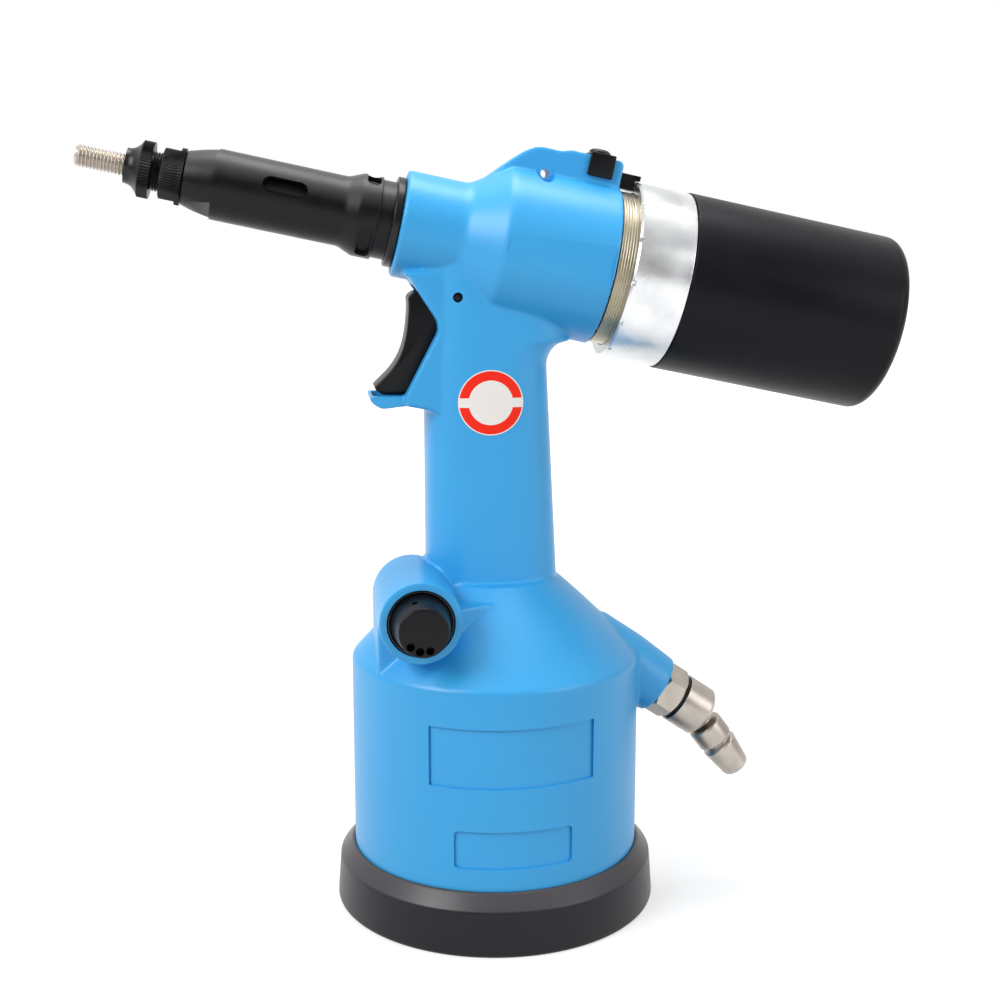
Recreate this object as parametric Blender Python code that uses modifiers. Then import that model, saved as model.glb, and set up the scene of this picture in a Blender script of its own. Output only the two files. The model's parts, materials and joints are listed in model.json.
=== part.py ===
"""Pneumatic-hydraulic rivet-nut gun: an assembly of separate pieces in metres, +Z up.

The origin is the middle of the flat underside. +X points to the rear of the tool, the nose points to -X,
and the valve boss opens to -Y. Air lifts a piston in the base, its ram presses oil into the barrel, and
the oil draws the threaded mandrel back. A vane motor in the rear spins the mandrel.
"""
import math

import bmesh
import bpy
from mathutils import Matrix, Vector

# General clearances and facet counts
GAP = 0.0003
MERGE = 0.00002
SEG_SHROUD = 36
SEG_LARGE = 20
SEG_MID = 24
SEG_SMALL = 16
SEG_INNER = 14
SEG_PIN = 10
COIL_POINTS = 6

# Barrel axis
BARREL_AXIS_Z = 0.2511
BARREL_TILT = math.radians(11.8)

# Base shroud and boot
SHROUD_R = 0.0548
SHROUD_WALL = 0.0035
SHROUD_FOOT_Z = 0.0075
SHOULDER_Z = 0.0982
SHOULDER_ROUND = 0.0030
DOME_CROWN_R = 0.0235
DOME_CROWN_Z = 0.1270
DOME_BULGE = 0.45
DOME_STEPS = 4
BOOT_FOOT_R = 0.0618
BOOT_RIM_R = 0.0605
BOOT_RIM_Z = 0.0170
BOOT_TOP_Z = 0.0225
BOOT_FLOOR = 0.0040
BOOT_EDGE_ROUND = 0.0018
PANEL_DEPTH = 0.0010
PANEL_UPPER_WIDTH = 0.0598
PANEL_UPPER_Z = (0.0608, 0.0830)
PANEL_LOWER_WIDTH = 0.0430
PANEL_LOWER_Z = (0.0306, 0.0449)
PANEL_CORNER = 0.0020

# Air cylinder and piston in the base
CYLINDER_WALL = 0.0030
COVER_TOP_Z = 0.0137
COVER_FLANGE_STEP = 0.0008
HEAD_Z = 0.0875
HEAD_THICK = 0.0055
PISTON_HEIGHT = 0.0140
PISTON_NUT_POCKET = 0.0066
SEAL_WIDTH = 0.0040
SEAL_DEPTH = 0.0030
RAM_R = 0.0080
RAM_STUD_R = 0.0055
RAM_TOP_Z = 0.1650
RAM_NUT_R = 0.0105
RAM_NUT_HEIGHT = 0.0055
RAM_TUBE_R = 0.0115
RAM_FLANGE_R = 0.0160
RAM_FLANGE_THICK = 0.0030
PISTON_SPRING_R = 0.0230
PISTON_SPRING_WIRE_R = 0.0014
PISTON_SPRING_TURNS = 4

# Handle
HANDLE_FRONT_X = -0.0264
HANDLE_REAR_FOOT_X = 0.0234
HANDLE_REAR_TOP_X = 0.0188
HANDLE_FOOT_Z = 0.1190
HANDLE_TOP_DROP = 0.0446
HANDLE_TOP_FILLET_Z = BARREL_AXIS_Z - HANDLE_TOP_DROP
HANDLE_HALF_WIDTH = 0.0182
HANDLE_ROUNDNESS = 3.0
HANDLE_POINTS = 24
FOOT_FILLET = 0.0050
TOP_FILLET = 0.0095
FILLET_STEPS = 3

# Barrel shell
BARREL_FRONT_S = -0.0360
BARREL_FRONT_R = 0.0193
BARREL_NECK_S = -0.0135
BARREL_CONE_END_S = 0.0005
BARREL_R = 0.0284
BARREL_REAR_R = 0.0290
BARREL_REAR_S = 0.0406
BARREL_EDGE = 0.0010

# Trigger and its block
BLOCK_HALF_WIDTH = 0.0149
BLOCK_BACK_X = -0.0140
BLOCK_DROP = 0.0619
BLOCK_BOTTOM_Z = BARREL_AXIS_Z - BLOCK_DROP
LEDGE_HALF_WIDTH = 0.0125
LEDGE_TIP_X = -0.0470
LEDGE_DROP = 0.0545
LEDGE_TOP_Z = BARREL_AXIS_Z - LEDGE_DROP
LEDGE_THICK = 0.0046
LEDGE_BOTTOM_Z = LEDGE_TOP_Z - LEDGE_THICK
LEDGE_LIP = 0.0011
TRIGGER_PIN_X = -0.0154
TRIGGER_PIN_DROP = 0.0188
TRIGGER_PIN_Z = BARREL_AXIS_Z - TRIGGER_PIN_DROP
TRIGGER_PIN_R = 0.0015
TRIGGER_EYE_R = 0.0035
TRIGGER_NECK = 0.0060
TRIGGER_HALF_WIDTH = 0.0080
TRIGGER_BACK_X = -0.0195
TRIGGER_TAIL_X = -0.0452
TRIGGER_FRONT_X = (-0.0151, -0.0172, -0.0170, -0.0177, -0.0194, -0.0231)
TRIGGER_FRONT_H = (0.0017, 0.0, -0.0047, -0.0127, -0.0198, -0.0262)
TRIGGER_HEEL_X = -0.0146
MOUTH_FRONT_X = -0.0188
MOUTH_X = (-0.0073, -0.0067, -0.0073, -0.0132, -0.0176, -0.0446)
MOUTH_H = (-0.0135, -0.0116, -0.0084, 0.0008, 0.0077, 0.0077)
TRIGGER_TAIL_DROP = 0.0354
TRIGGER_TAIL_Z = TRIGGER_PIN_Z - TRIGGER_TAIL_DROP
TRIGGER_POCKET_HALF_WIDTH = 0.0051
TRIGGER_WALL = 0.0070
TRIGGER_SWING = math.radians(6.0)

# Pilot valve behind the trigger
PILOT_DROP = 0.0243
PILOT_Z = TRIGGER_PIN_Z - PILOT_DROP
PILOT_BUSH_R = 0.0045
PILOT_BUSH_FRONT_X = -0.0235
PILOT_STEM_R = 0.0016
PILOT_HEAD_R = 0.0028
PILOT_HEAD_THICK = 0.0024
PILOT_SPRING_WIRE_R = 0.00035
PILOT_SPRING_TURNS = 3

# Main valve in the boss
BOSS_X = -0.0320
BOSS_Z = 0.1200
BOSS_R = 0.0148
BOSS_RIM_Y = -0.0450
BOSS_BACK_Y = 0.0088
BOSS_EDGE = 0.0050
BOSS_BORE_R = 0.0122
BOSS_BORE_END_Y = 0.0060
BOSS_WEB_BACK_X = 0.0
BOSS_WEB_Y = (-0.0285, 0.0060)
BOSS_WEB_Z = (0.0940, 0.1222)
CAP_SHANK_LENGTH = 0.0155
CAP_BASE_R = 0.0107
CAP_FACE_R = 0.0083
CAP_PROUD = 0.0125
CAP_EDGE = 0.0010
CAP_WALL = 0.0025
CAP_SEAT = 0.0025
CAP_HOLE_R = 0.0015
CAP_HOLE_PITCH_R = 0.0066
CAP_HOLE_ANGLES = (225, 257, 288)
CAP_SIDE_HOLE_R = 0.0012
CAP_SIDE_HOLE_TURN = math.radians(16.0)
VALVE_BUSH_WALL = 0.0028
SPOOL_LENGTH = 0.0190
SPOOL_WAIST_R = 0.0060
SPOOL_SPRING_WIRE_R = 0.0006
SPOOL_SPRING_TURNS = 4

# Air inlet, swivel and nipple
INLET_X = 0.0640
INLET_Z = 0.0803
INLET_TILT = math.radians(34.2)
ARM_LENGTH = 0.0340
ARM_R = 0.0129
ARM_FACE_R = 0.0116
ARM_TAPER = 0.0160
INLET_SHANK_R = 0.0062
INLET_SHANK_LENGTH = 0.0070
INLET_BORE_R = 0.0032
HEX_FLATS = 0.0184
HEX_LENGTH = 0.0087
HEX_CHAMFER = 0.0012
INLET_SEAL_THICK = 0.0006
SWIVEL_R = 0.0100
SWIVEL_LENGTH = 0.0130
SWIVEL_CHAMFER = 0.0018
BALL_R = 0.0062
BALL_CENTRE = 0.0165
BALL_BACK = 0.0035
BALL_STEPS = 5
NIPPLE_TILT = math.radians(53.0)
NIPPLE_BORE_R = 0.0022
NIPPLE_NECK_R = 0.0038
NIPPLE_COLLAR_S = (0.0101, 0.0189)
NIPPLE_COLLAR_R = 0.0071
NIPPLE_GROOVE_R = 0.0052
NIPPLE_HEAD_S = 0.0206
NIPPLE_TIP_S = 0.0333
NIPPLE_TIP_R = 0.0056
NIPPLE_EDGE = 0.0009

# Oil cylinder and draw piston in the barrel
OIL_NECK_R = 0.0164
OIL_BODY_R = 0.0251
OIL_BODY_S = 0.0020
OIL_NECK_END_S = -0.0080
OIL_THREAD_R = 0.0282
OIL_REAR_S = 0.0600
OIL_BORE_R = 0.0203
OIL_BORE_S = -0.0040
OIL_SOCKET_END_S = -0.0160
GLAND_THICK = 0.0037
ROD_R = 0.0092
ROD_FRONT_S = -0.0497
ROD_SPIGOT_R = 0.0068
ROD_SPIGOT_LENGTH = 0.0105
DRAW_PISTON_S = (0.0040, 0.0160)
DRAW_SEAL_WIDTH = 0.0022
DRAW_SEAL_DEPTH = 0.0020
SPRING_SEAT_S = 0.0500
SPRING_SEAT_THICK = 0.0040
SPRING_SEAT_HOLE_R = 0.0120
DRAW_SPRING_R = 0.0165
DRAW_SPRING_WIRE_R = 0.0014
DRAW_SPRING_TURNS = 4

# Nose
SLEEVE_FRONT_S = -0.1134
SLEEVE_FRONT_R = 0.0095
SLEEVE_CONE_END_S = -0.1026
SLEEVE_R = 0.0126
SLEEVE_TAPER_S = (-0.0564, -0.0510)
COLLAR_R = 0.0149
COLLAR_END_S = -0.0441
SHANK_R = 0.0141
SLEEVE_LIP_S = -0.1040
LOCK_RING_R = 0.0163
LOCK_RING_THICK = 0.0028
FLAT_DISTANCE = 0.0100
FLAT_ANGLE = math.radians(-70.0)
WINDOW_S = -0.0780
WINDOW_LENGTH = 0.0160
WINDOW_WIDTH = 0.0060
WINDOW_ANGLE = math.radians(18.0)
SPANNER_SLOT_LENGTH = 0.0050
SPANNER_SLOT_WIDTH = 0.0144
SPANNER_SLOT_DEPTH = 0.0034
SPANNER_SLOT_ANGLES = (-43.0, 77.0, 197.0)
NOSE_THREAD_R = 0.0070
NOSE_THREAD_END_S = -0.1065
NOSE_FRONT_S = -0.1339
NOSE_FRONT_R = 0.0062
NOSE_FLANGE_S = (-0.1285, -0.1247)
NOSE_FLANGE_R = 0.0100
NOSE_FLARE_STEPS = 3
NUT_FRONT_S = -0.1213
NUT_FRONT_R = 0.0090
NUT_RIM_S = -0.1154
NUT_RIM_R = 0.0101
MANDREL_R = 0.0039
MANDREL_TIP_S = -0.1513
MANDREL_CHAMFER = 0.0009
MANDREL_HEAD_S = -0.0827
MANDREL_HEAD_R = 0.0063
MANDREL_HEAD_LENGTH = 0.0080
MANDREL_SOCKET_FLATS = 0.0060
MANDREL_SOCKET_DEPTH = 0.0050
PULLER_FRONT_S = -0.0960
PULLER_R = 0.0089
WASHER_THICK = 0.0012
SHAFT_R = 0.0040
SHAFT_COLLAR_R = 0.0062
SHAFT_COLLAR_LENGTH = 0.0060
SHAFT_HEX_S = 0.0320
SHAFT_HEX_FLATS = 0.0066
SHAFT_END_S = 0.0650

# Motor unit and stroke adjuster in the rear
ADJUST_FRONT_S = 0.0463
ADJUST_R = 0.0325
ADJUST_STEP_S = 0.0671
ADJUST_CHAMFER = 0.0007
ADJUST_REAR_S = 0.1440
ADJUST_THREAD_END_S = 0.0622
ADJUST_BORE_R = 0.0277
ADJUST_NOTCHES = 13
ADJUST_NOTCH_WIDTH = 0.0018
ADJUST_NOTCH_DEPTH = 0.0012
ADJUST_NOTCH_LENGTH = 0.0014
COVER_R = 0.0332
COVER_WALL = 0.0021
COVER_REAR_S = 0.1500
COVER_EDGE_ROUND = 0.0045
COVER_END_WALL = 0.0030
COVER_ROUND_STEPS = 4
GEAR_CASE_LENGTH = 0.0195
GEAR_CASE_WALL = 0.0070
SPINDLE_R = 0.0076
SPINDLE_FRONT_S = 0.0560
SPINDLE_SOCKET_END_S = 0.0770
CARRIER_R = 0.0180
CARRIER_THICK = 0.0036
PLATE_THICK = 0.0060
BEARING_R = 0.0089
ROTOR_SHAFT_R = 0.0050
ROTOR_R = 0.0190
ROTOR_LENGTH = 0.0336
ROTOR_TAIL = 0.0070
LINER_BORE_R = 0.0212
LINER_OFFSET = 0.0014
VANES = 4
VANE_THICK = 0.0020
VANE_DEPTH = 0.0100

# Fin and its latch
FIN_HALF_WIDTH = 0.0050
FIN_REAR_S = 0.0404
FIN_TOP_H = 0.0384
FIN_STEP_S = 0.0200
FIN_HOLE_S = 0.0123
FIN_HOLE_H = 0.0282
FIN_HOLE_R = 0.0017
FIN_FACE_R = 0.0034
FIN_FACE_DEPTH = 0.0100
BOLT_HALF_WIDTH = 0.0030
BOLT_H = (0.0290, 0.0346)
BOLT_S = (0.0270, 0.0460)
BOLT_TIP_LENGTH = 0.0018
LATCH_STROKE = 0.0050
LATCH_SPRING_LENGTH = 0.0100
LATCH_SPRING_R = 0.0019
LATCH_SPRING_WIRE_R = 0.0004
LATCH_SPRING_TURNS = 4
CLIP_S = (0.0273, 0.0367)
CLIP_BOTTOM_H = 0.0310
CLIP_SIDE = 0.0013
CLIP_TOP = 0.0008
SCREW_S = 0.0315
SCREW_R = 0.0015
SCREW_DEPTH = 0.0030
SCREW_HEAD_R = 0.0040
SCREW_HEAD_HEIGHT = 0.0014

# Sizes that follow from the ones above
BOOT_BORE_R = SHROUD_R + GAP
CAVITY_R = SHROUD_R - SHROUD_WALL
CYLINDER_R = CAVITY_R - GAP
CYLINDER_BORE_R = CYLINDER_R - CYLINDER_WALL
HEAD_TOP_Z = HEAD_Z + HEAD_THICK
PISTON_Z = COVER_TOP_Z + GAP
PISTON_TOP_Z = PISTON_Z + PISTON_HEIGHT
PISTON_R = CYLINDER_BORE_R - 2 * GAP
RAM_BORE_R = RAM_R + GAP
RAM_SHAFT_HOLE_R = RAM_TUBE_R + GAP
OIL_BORE_IN_HOUSING_R = OIL_BODY_R + GAP
NECK_BORE_R = OIL_NECK_R + GAP
RAM_TUBE_TOP_Z = (BARREL_AXIS_Z - (OIL_BODY_R + GAP) / math.cos(BARREL_TILT)
                  - RAM_TUBE_R * math.tan(BARREL_TILT) - GAP)
SHANK_END_S = OIL_SOCKET_END_S - GLAND_THICK - 2 * GAP
SLEEVE_BORE_R = ROD_R + 2 * GAP
SPOOL_R = BOSS_BORE_R - GAP - VALVE_BUSH_WALL - GAP
SLEEVE_COVERED_R = COVER_R - COVER_WALL - GAP
GEAR_CASE_S = ADJUST_THREAD_END_S + GAP
GEAR_CASE_R = ADJUST_BORE_R - 2 * GAP
FRONT_PLATE_S = GEAR_CASE_S + GEAR_CASE_LENGTH + GAP
LINER_S = FRONT_PLATE_S + PLATE_THICK + GAP
LINER_LENGTH = ROTOR_LENGTH + 2 * GAP
REAR_PLATE_S = LINER_S + LINER_LENGTH + GAP
RETAINER_S = REAR_PLATE_S + PLATE_THICK + ROTOR_TAIL
ROTOR_S = LINER_S + GAP
CARRIER_S = GEAR_CASE_S + GEAR_CASE_WALL + GAP
CLIP_TOP_H = FIN_TOP_H + GAP + CLIP_TOP
LATCH_CHANNEL_S = BOLT_S[0] - LATCH_SPRING_LENGTH
COLORS = {
    "blue_plastic": ((0.055, 0.38, 0.80, 1.0), 0.38, 0.0),
    "black_rubber": ((0.022, 0.022, 0.024, 1.0), 0.62, 0.0),
    "black_plastic": ((0.015, 0.015, 0.017, 1.0), 0.42, 0.0),
    "black_oxide_steel": ((0.030, 0.030, 0.032, 1.0), 0.40, 0.8),
    "bright_steel": ((0.62, 0.60, 0.56, 1.0), 0.28, 1.0),
    "thread_steel": ((0.42, 0.40, 0.33, 1.0), 0.35, 1.0),
    "aluminium": ((0.80, 0.81, 0.82, 1.0), 0.30, 1.0),
    "nickel": ((0.66, 0.61, 0.54, 1.0), 0.24, 1.0),
    "bronze": ((0.55, 0.38, 0.16, 1.0), 0.35, 1.0),
}


# Scene, collections, materials and frames
for leftover in list(bpy.data.objects):
    bpy.data.objects.remove(leftover, do_unlink=True)

parts = bpy.data.collections.new("rivet_nut_gun")
cutters = bpy.data.collections.new("cutters")
bpy.context.scene.collection.children.link(parts)
bpy.context.scene.collection.children.link(cutters)


def make_material(name):
    color, roughness, metallic = COLORS[name]
    material = bpy.data.materials.new(name)
    material.use_nodes = True
    shader = material.node_tree.nodes["Principled BSDF"]
    shader.inputs["Base Color"].default_value = color
    shader.inputs["Roughness"].default_value = roughness
    shader.inputs["Metallic"].default_value = metallic
    material.diffuse_color = color
    return material


MATERIALS = {name: make_material(name) for name in COLORS}


def frame(name, location, turn=(0.0, 0.0, 0.0)):
    """An empty that pieces hang on; its Z axis is the axis of what it carries."""
    empty = bpy.data.objects.new(name, None)
    empty.location = location
    empty.rotation_euler = turn
    empty.empty_display_size = 0.02
    parts.objects.link(empty)
    return empty


BASE = frame("base_axis", (0.0, 0.0, 0.0))
BARREL = frame("barrel_axis", (0.0, 0.0, BARREL_AXIS_Z), (0.0, math.pi / 2 + BARREL_TILT, 0.0))
TRIGGER_AXIS = frame("trigger_axis", (TRIGGER_PIN_X, 0.0, TRIGGER_PIN_Z))
PILOT = frame("pilot_axis", (0.0, 0.0, PILOT_Z), (0.0, math.pi / 2, 0.0))
VALVE = frame("valve_axis", (BOSS_X, 0.0, BOSS_Z), (math.pi / 2, 0.0, 0.0))
INLET = frame("inlet_axis", (INLET_X, 0.0, INLET_Z), (0.0, math.pi / 2 + INLET_TILT, 0.0))
NIPPLE = frame("nipple_axis",
               (INLET_X + BALL_CENTRE * math.cos(INLET_TILT), 0.0,
                INLET_Z - BALL_CENTRE * math.sin(INLET_TILT)),
               (0.0, math.pi / 2 + NIPPLE_TILT, 0.0))
LINER_AXIS = frame("liner_axis", (0.0, 0.0, 0.0))
LINER_AXIS.parent = BARREL
LINER_AXIS.location = (LINER_OFFSET, 0.0, 0.0)


# Modelling helpers
def place(obj, axis, material):
    """Put an object on its axis: a named material makes it a part, none makes it a cutter."""
    obj.parent = axis
    if material is None:
        obj.hide_render = True
        obj.display_type = 'WIRE'
        cutters.objects.link(obj)
        return obj
    obj.data.materials.append(MATERIALS[material])
    parts.objects.link(obj)
    return obj


def signed_area(loop):
    total = 0.0
    for here, there in zip(loop, loop[1:] + loop[:1]):
        total += here[1] * there[0] - there[1] * here[0]
    return total / 2


def turned(name, profile, segments, axis, material=None):
    """Revolve (along, radius) points about the axis; the profile may touch the axis or close on itself."""
    points = list(profile)
    on_axis = [i for i, (along, radius) in enumerate(points) if radius == 0]
    if on_axis and on_axis[0] > 0:
        points = points[on_axis[-1]:] + points[:on_axis[-1]]
    if signed_area(points) > 0:
        points.reverse()
    verts = [(radius, 0.0, along) for along, radius in points]
    edges = [(i, i + 1) for i in range(len(verts) - 1)]
    if min(radius for along, radius in points) > 0:
        edges.append((len(verts) - 1, 0))
    mesh = bpy.data.meshes.new(name)
    mesh.from_pydata(verts, edges, [])
    obj = bpy.data.objects.new(name, mesh)
    screw = obj.modifiers.new("Revolve", 'SCREW')
    screw.steps = segments
    screw.render_steps = segments
    screw.use_merge_vertices = True
    screw.merge_threshold = MERGE
    screw.use_smooth_shade = True
    return place(obj, axis, material)


def shell(name, profile, segments, axis):
    """A turned shape half a facet round, so that its edges miss the edges of the bores cut into it."""
    obj = turned(name, profile, segments, axis)
    obj.rotation_euler = (0.0, 0.0, math.pi / segments)
    return obj


def tube(name, span, outer, inner, segments, axis, material=None):
    low, high = span
    profile = [(low, outer), (high, outer), (high, inner), (low, inner)]
    return turned(name, profile, segments, axis, material)


def rod(name, span, radius, segments, axis, material=None):
    low, high = span
    return turned(name, [(low, 0.0), (low, radius), (high, radius), (high, 0.0)], segments, axis, material)


def mesh_object(name, build, axis, material=None):
    """Fill a new mesh with bmesh operators and put it on its axis."""
    shape = bmesh.new()
    build(shape)
    mesh = bpy.data.meshes.new(name)
    shape.to_mesh(mesh)
    shape.free()
    obj = bpy.data.objects.new(name, mesh)
    return place(obj, axis, material)


def block(name, low, high, axis, material=None):
    """A box between two corners."""
    size = Vector(high) - Vector(low)
    middle = (Vector(high) + Vector(low)) / 2

    def build(shape):
        matrix = Matrix.Translation(middle) @ Matrix.Diagonal(size.to_4d())
        bmesh.ops.create_cube(shape, size=1.0, matrix=matrix)

    return mesh_object(name, build, axis, material)


def hexagon(name, span, flats, axis, material=None):
    """A hexagonal prism along the axis."""
    low, high = span
    radius = flats / math.sqrt(3)

    def build(shape):
        matrix = Matrix.Translation((0.0, 0.0, (low + high) / 2))
        bmesh.ops.create_cone(shape, cap_ends=True, segments=6, radius1=radius, radius2=radius,
                              depth=high - low, matrix=matrix)

    return mesh_object(name, build, axis, material)


def ring_of_blocks(name, count, size, radius, along, axis):
    """Copies of a box (radial, tangential, axial size) spaced evenly round the axis."""
    def build(shape):
        for i in range(count):
            turn = Matrix.Rotation(2 * math.pi * i / count, 4, 'Z')
            shift = Matrix.Translation((radius, 0.0, along))
            matrix = turn @ shift @ Matrix.Diagonal(Vector(size).to_4d())
            bmesh.ops.create_cube(shape, size=1.0, matrix=matrix)

    return mesh_object(name, build, axis)


def arc(centre, radius, start, end, steps):
    """Points along an arc; angles in degrees."""
    points = []
    for i in range(steps + 1):
        angle = math.radians(start + (end - start) * i / max(steps, 1))
        points.append((centre[0] + radius * math.cos(angle), centre[1] + radius * math.sin(angle)))
    return points


def plate(name, outline, half_width, axis, material=None):
    """A flat outline in the axis's XZ plane, as thick as its width along Y."""
    curve = bpy.data.curves.new(name, 'CURVE')
    curve.dimensions = '2D'
    curve.fill_mode = 'BOTH'
    curve.extrude = half_width
    spline = curve.splines.new('POLY')
    spline.points.add(len(outline) - 1)
    for point, (x, z) in zip(spline.points, outline):
        point.co = (x, z, 0.0, 1.0)
    spline.use_cyclic_u = True
    return as_mesh(name, curve, Matrix.Rotation(math.pi / 2, 4, 'X'), axis, material)


def as_mesh(name, curve, turn, axis, material):
    """Turn a curve into a closed mesh object."""
    source = bpy.data.objects.new(name + "_curve", curve)
    cutters.objects.link(source)
    evaluated = source.evaluated_get(bpy.context.evaluated_depsgraph_get())
    mesh = bpy.data.meshes.new_from_object(evaluated)
    bpy.data.objects.remove(source, do_unlink=True)
    shape = bmesh.new()
    shape.from_mesh(mesh)
    bmesh.ops.remove_doubles(shape, verts=shape.verts, dist=MERGE)
    bmesh.ops.recalc_face_normals(shape, faces=shape.faces)
    shape.to_mesh(mesh)
    shape.free()
    mesh.transform(turn)
    obj = bpy.data.objects.new(name, mesh)
    return place(obj, axis, material)


def coil(name, span, radius, wire, turns, axis, material):
    """A compression spring between two seats, as one unbroken wire, with its least gap printed."""
    low = span[0] + wire
    high = span[1] - wire
    curve = bpy.data.curves.new(name, 'CURVE')
    curve.dimensions = '3D'
    curve.bevel_depth = wire
    curve.bevel_resolution = 0
    curve.use_fill_caps = True
    count = turns * COIL_POINTS + 1
    spline = curve.splines.new('POLY')
    spline.points.add(count - 1)
    places = []
    for i in range(count):
        angle = 2 * math.pi * i / COIL_POINTS
        along = low + (high - low) * i / (count - 1)
        places.append(Vector((radius * math.cos(angle), radius * math.sin(angle), along)))
        spline.points[i].co = (*places[i], 1.0)
    least = min((places[i] - places[j]).length
                for i in range(count) for j in range(i + COIL_POINTS // 2, count)) - 2 * wire
    print(name, "least gap between turns", round(least * 1000, 2), "mm")
    return as_mesh(name, curve, Matrix.Identity(4), axis, material)


def combine(obj, other, operation):
    modifier = obj.modifiers.new(other.name, 'BOOLEAN')
    modifier.operation = operation
    modifier.solver = 'EXACT'
    modifier.object = other


def cut(obj, *others):
    for other in others:
        combine(obj, other, 'DIFFERENCE')


def fuse(obj, *others):
    for other in others:
        combine(obj, other, 'UNION')


def along_barrel(s, h):
    """World X and Z of a point at s along the barrel axis and h above it."""
    x = s * math.cos(BARREL_TILT) + h * math.sin(BARREL_TILT)
    z = BARREL_AXIS_Z - s * math.sin(BARREL_TILT) + h * math.cos(BARREL_TILT)
    return x, z


# The barrel frame's X axis points down, so the height above the axis is -x there
def barrel_block(name, s_span, h_span, half_width, material=None):
    low = (-h_span[1], -half_width, s_span[0])
    high = (-h_span[0], half_width, s_span[1])
    return block(name, low, high, BARREL, material)


# Handle housing
def dome_profile():
    """Shroud side, rounded shoulder and bulged dome, from the foot up to the crown."""
    points = [(SHROUD_FOOT_Z, 0.0), (SHROUD_FOOT_Z, SHROUD_R)]
    points += [(z, r) for r, z in arc((SHROUD_R - SHOULDER_ROUND, SHOULDER_Z - SHOULDER_ROUND),
                                      SHOULDER_ROUND, 0, 50, 2)]
    edge_z, edge_r = points[-1]
    for i in range(1, DOME_STEPS + 1):
        t = i / DOME_STEPS
        rise = t * (1 + DOME_BULGE - DOME_BULGE * t)
        points.append((edge_z + (DOME_CROWN_Z - edge_z) * rise, edge_r + (DOME_CROWN_R - edge_r) * t))
    points.append((DOME_CROWN_Z, 0.0))
    return points


def fillet(distance, radius):
    """How far a fillet stands out at a distance from where it starts."""
    reach = min(max(distance, 0.0), radius)
    return radius - math.sqrt(radius * radius - reach * reach)


def handle_section(z):
    """Rounded-rectangle section of the grip; the foot flares all round and the top flares to the rear."""
    foot = fillet(HANDLE_FOOT_Z + FOOT_FILLET - z, FOOT_FILLET)
    top = fillet(z - HANDLE_TOP_FILLET_Z, TOP_FILLET)
    share = (z - HANDLE_FOOT_Z) / (HANDLE_TOP_FILLET_Z - HANDLE_FOOT_Z)
    rear = HANDLE_REAR_FOOT_X + (HANDLE_REAR_TOP_X - HANDLE_REAR_FOOT_X) * share + foot + top
    half_width = HANDLE_HALF_WIDTH + foot / 2
    middle = (rear + HANDLE_FRONT_X) / 2
    half_length = (rear - HANDLE_FRONT_X) / 2
    power = 2 / HANDLE_ROUNDNESS
    points = []
    for i in range(HANDLE_POINTS):
        angle = 2 * math.pi * (i + 0.5) / HANDLE_POINTS
        x = math.copysign(abs(math.cos(angle)) ** power, math.cos(angle))
        y = math.copysign(abs(math.sin(angle)) ** power, math.sin(angle))
        points.append((middle + half_length * x, half_width * y, z))
    return points


def handle_heights():
    heights = [HANDLE_FOOT_Z + FOOT_FILLET * i / FILLET_STEPS for i in range(FILLET_STEPS + 1)]
    heights += [HANDLE_TOP_FILLET_Z + TOP_FILLET * i / FILLET_STEPS for i in range(FILLET_STEPS + 1)]
    heights.append(BARREL_AXIS_Z - GAP)
    return heights


def build_handle(shape):
    """Loft through the grip's sections."""
    rings = [[shape.verts.new(point) for point in handle_section(z)] for z in handle_heights()]
    for lower, upper in zip(rings, rings[1:]):
        for i in range(HANDLE_POINTS):
            j = (i + 1) % HANDLE_POINTS
            shape.faces.new((lower[i], lower[j], upper[j], upper[i]))
    shape.faces.new(list(reversed(rings[0])))
    shape.faces.new(rings[-1])


def fin_outline():
    """Fin over the barrel as (x, z) points, from the front foot over the top to the rear."""
    corners = [(-0.0110, 0.0150), (-0.0097, 0.0212), (0.0, 0.0312), (0.0041, 0.0349), (0.0070, 0.0367),
               (0.0098, 0.0373), (FIN_STEP_S - 0.0030, 0.0373), (FIN_STEP_S, FIN_TOP_H),
               (FIN_REAR_S - 0.0012, FIN_TOP_H), (FIN_REAR_S, FIN_TOP_H - 0.0012), (FIN_REAR_S, 0.0150)]
    return [along_barrel(s, h) for s, h in corners]


def mouth_outline():
    """The V that opens the block's front round the trigger, with its points set from the pin."""
    ledge = LEDGE_TOP_Z + GAP
    front = TRIGGER_PIN_X + MOUTH_FRONT_X
    points = [(TRIGGER_PIN_X + x, TRIGGER_PIN_Z + h) for x, h in zip(MOUTH_X, MOUTH_H)]
    return [(front, ledge)] + points + [(points[-1][0], ledge)]


def block_outline():
    top = BARREL_AXIS_Z - BARREL_FRONT_R / 2
    return [(-0.0344, BLOCK_BOTTOM_Z + 0.0040), (HANDLE_FRONT_X, BLOCK_BOTTOM_Z + 0.0025),
            (HANDLE_FRONT_X + 0.0060, BLOCK_BOTTOM_Z), (BLOCK_BACK_X, BLOCK_BOTTOM_Z), (BLOCK_BACK_X, top),
            (-0.0344, top)]


def ledge_outline():
    return [(LEDGE_TIP_X, LEDGE_TOP_Z), (LEDGE_TIP_X, LEDGE_TOP_Z - 0.0016),
            (LEDGE_TIP_X + 0.0019, LEDGE_BOTTOM_Z + 0.0012), (LEDGE_TIP_X + 0.0043, LEDGE_BOTTOM_Z),
            (-0.0342, LEDGE_BOTTOM_Z + 0.0009), (-0.0200, LEDGE_BOTTOM_Z + 0.0005), (-0.0200, LEDGE_TOP_Z)]


def slot_floor_z():
    """Clears the tail of the trigger when it is pulled home."""
    reach = TRIGGER_TAIL_X - TRIGGER_PIN_X
    return TRIGGER_TAIL_Z + reach * math.sin(TRIGGER_SWING) - GAP


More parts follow.
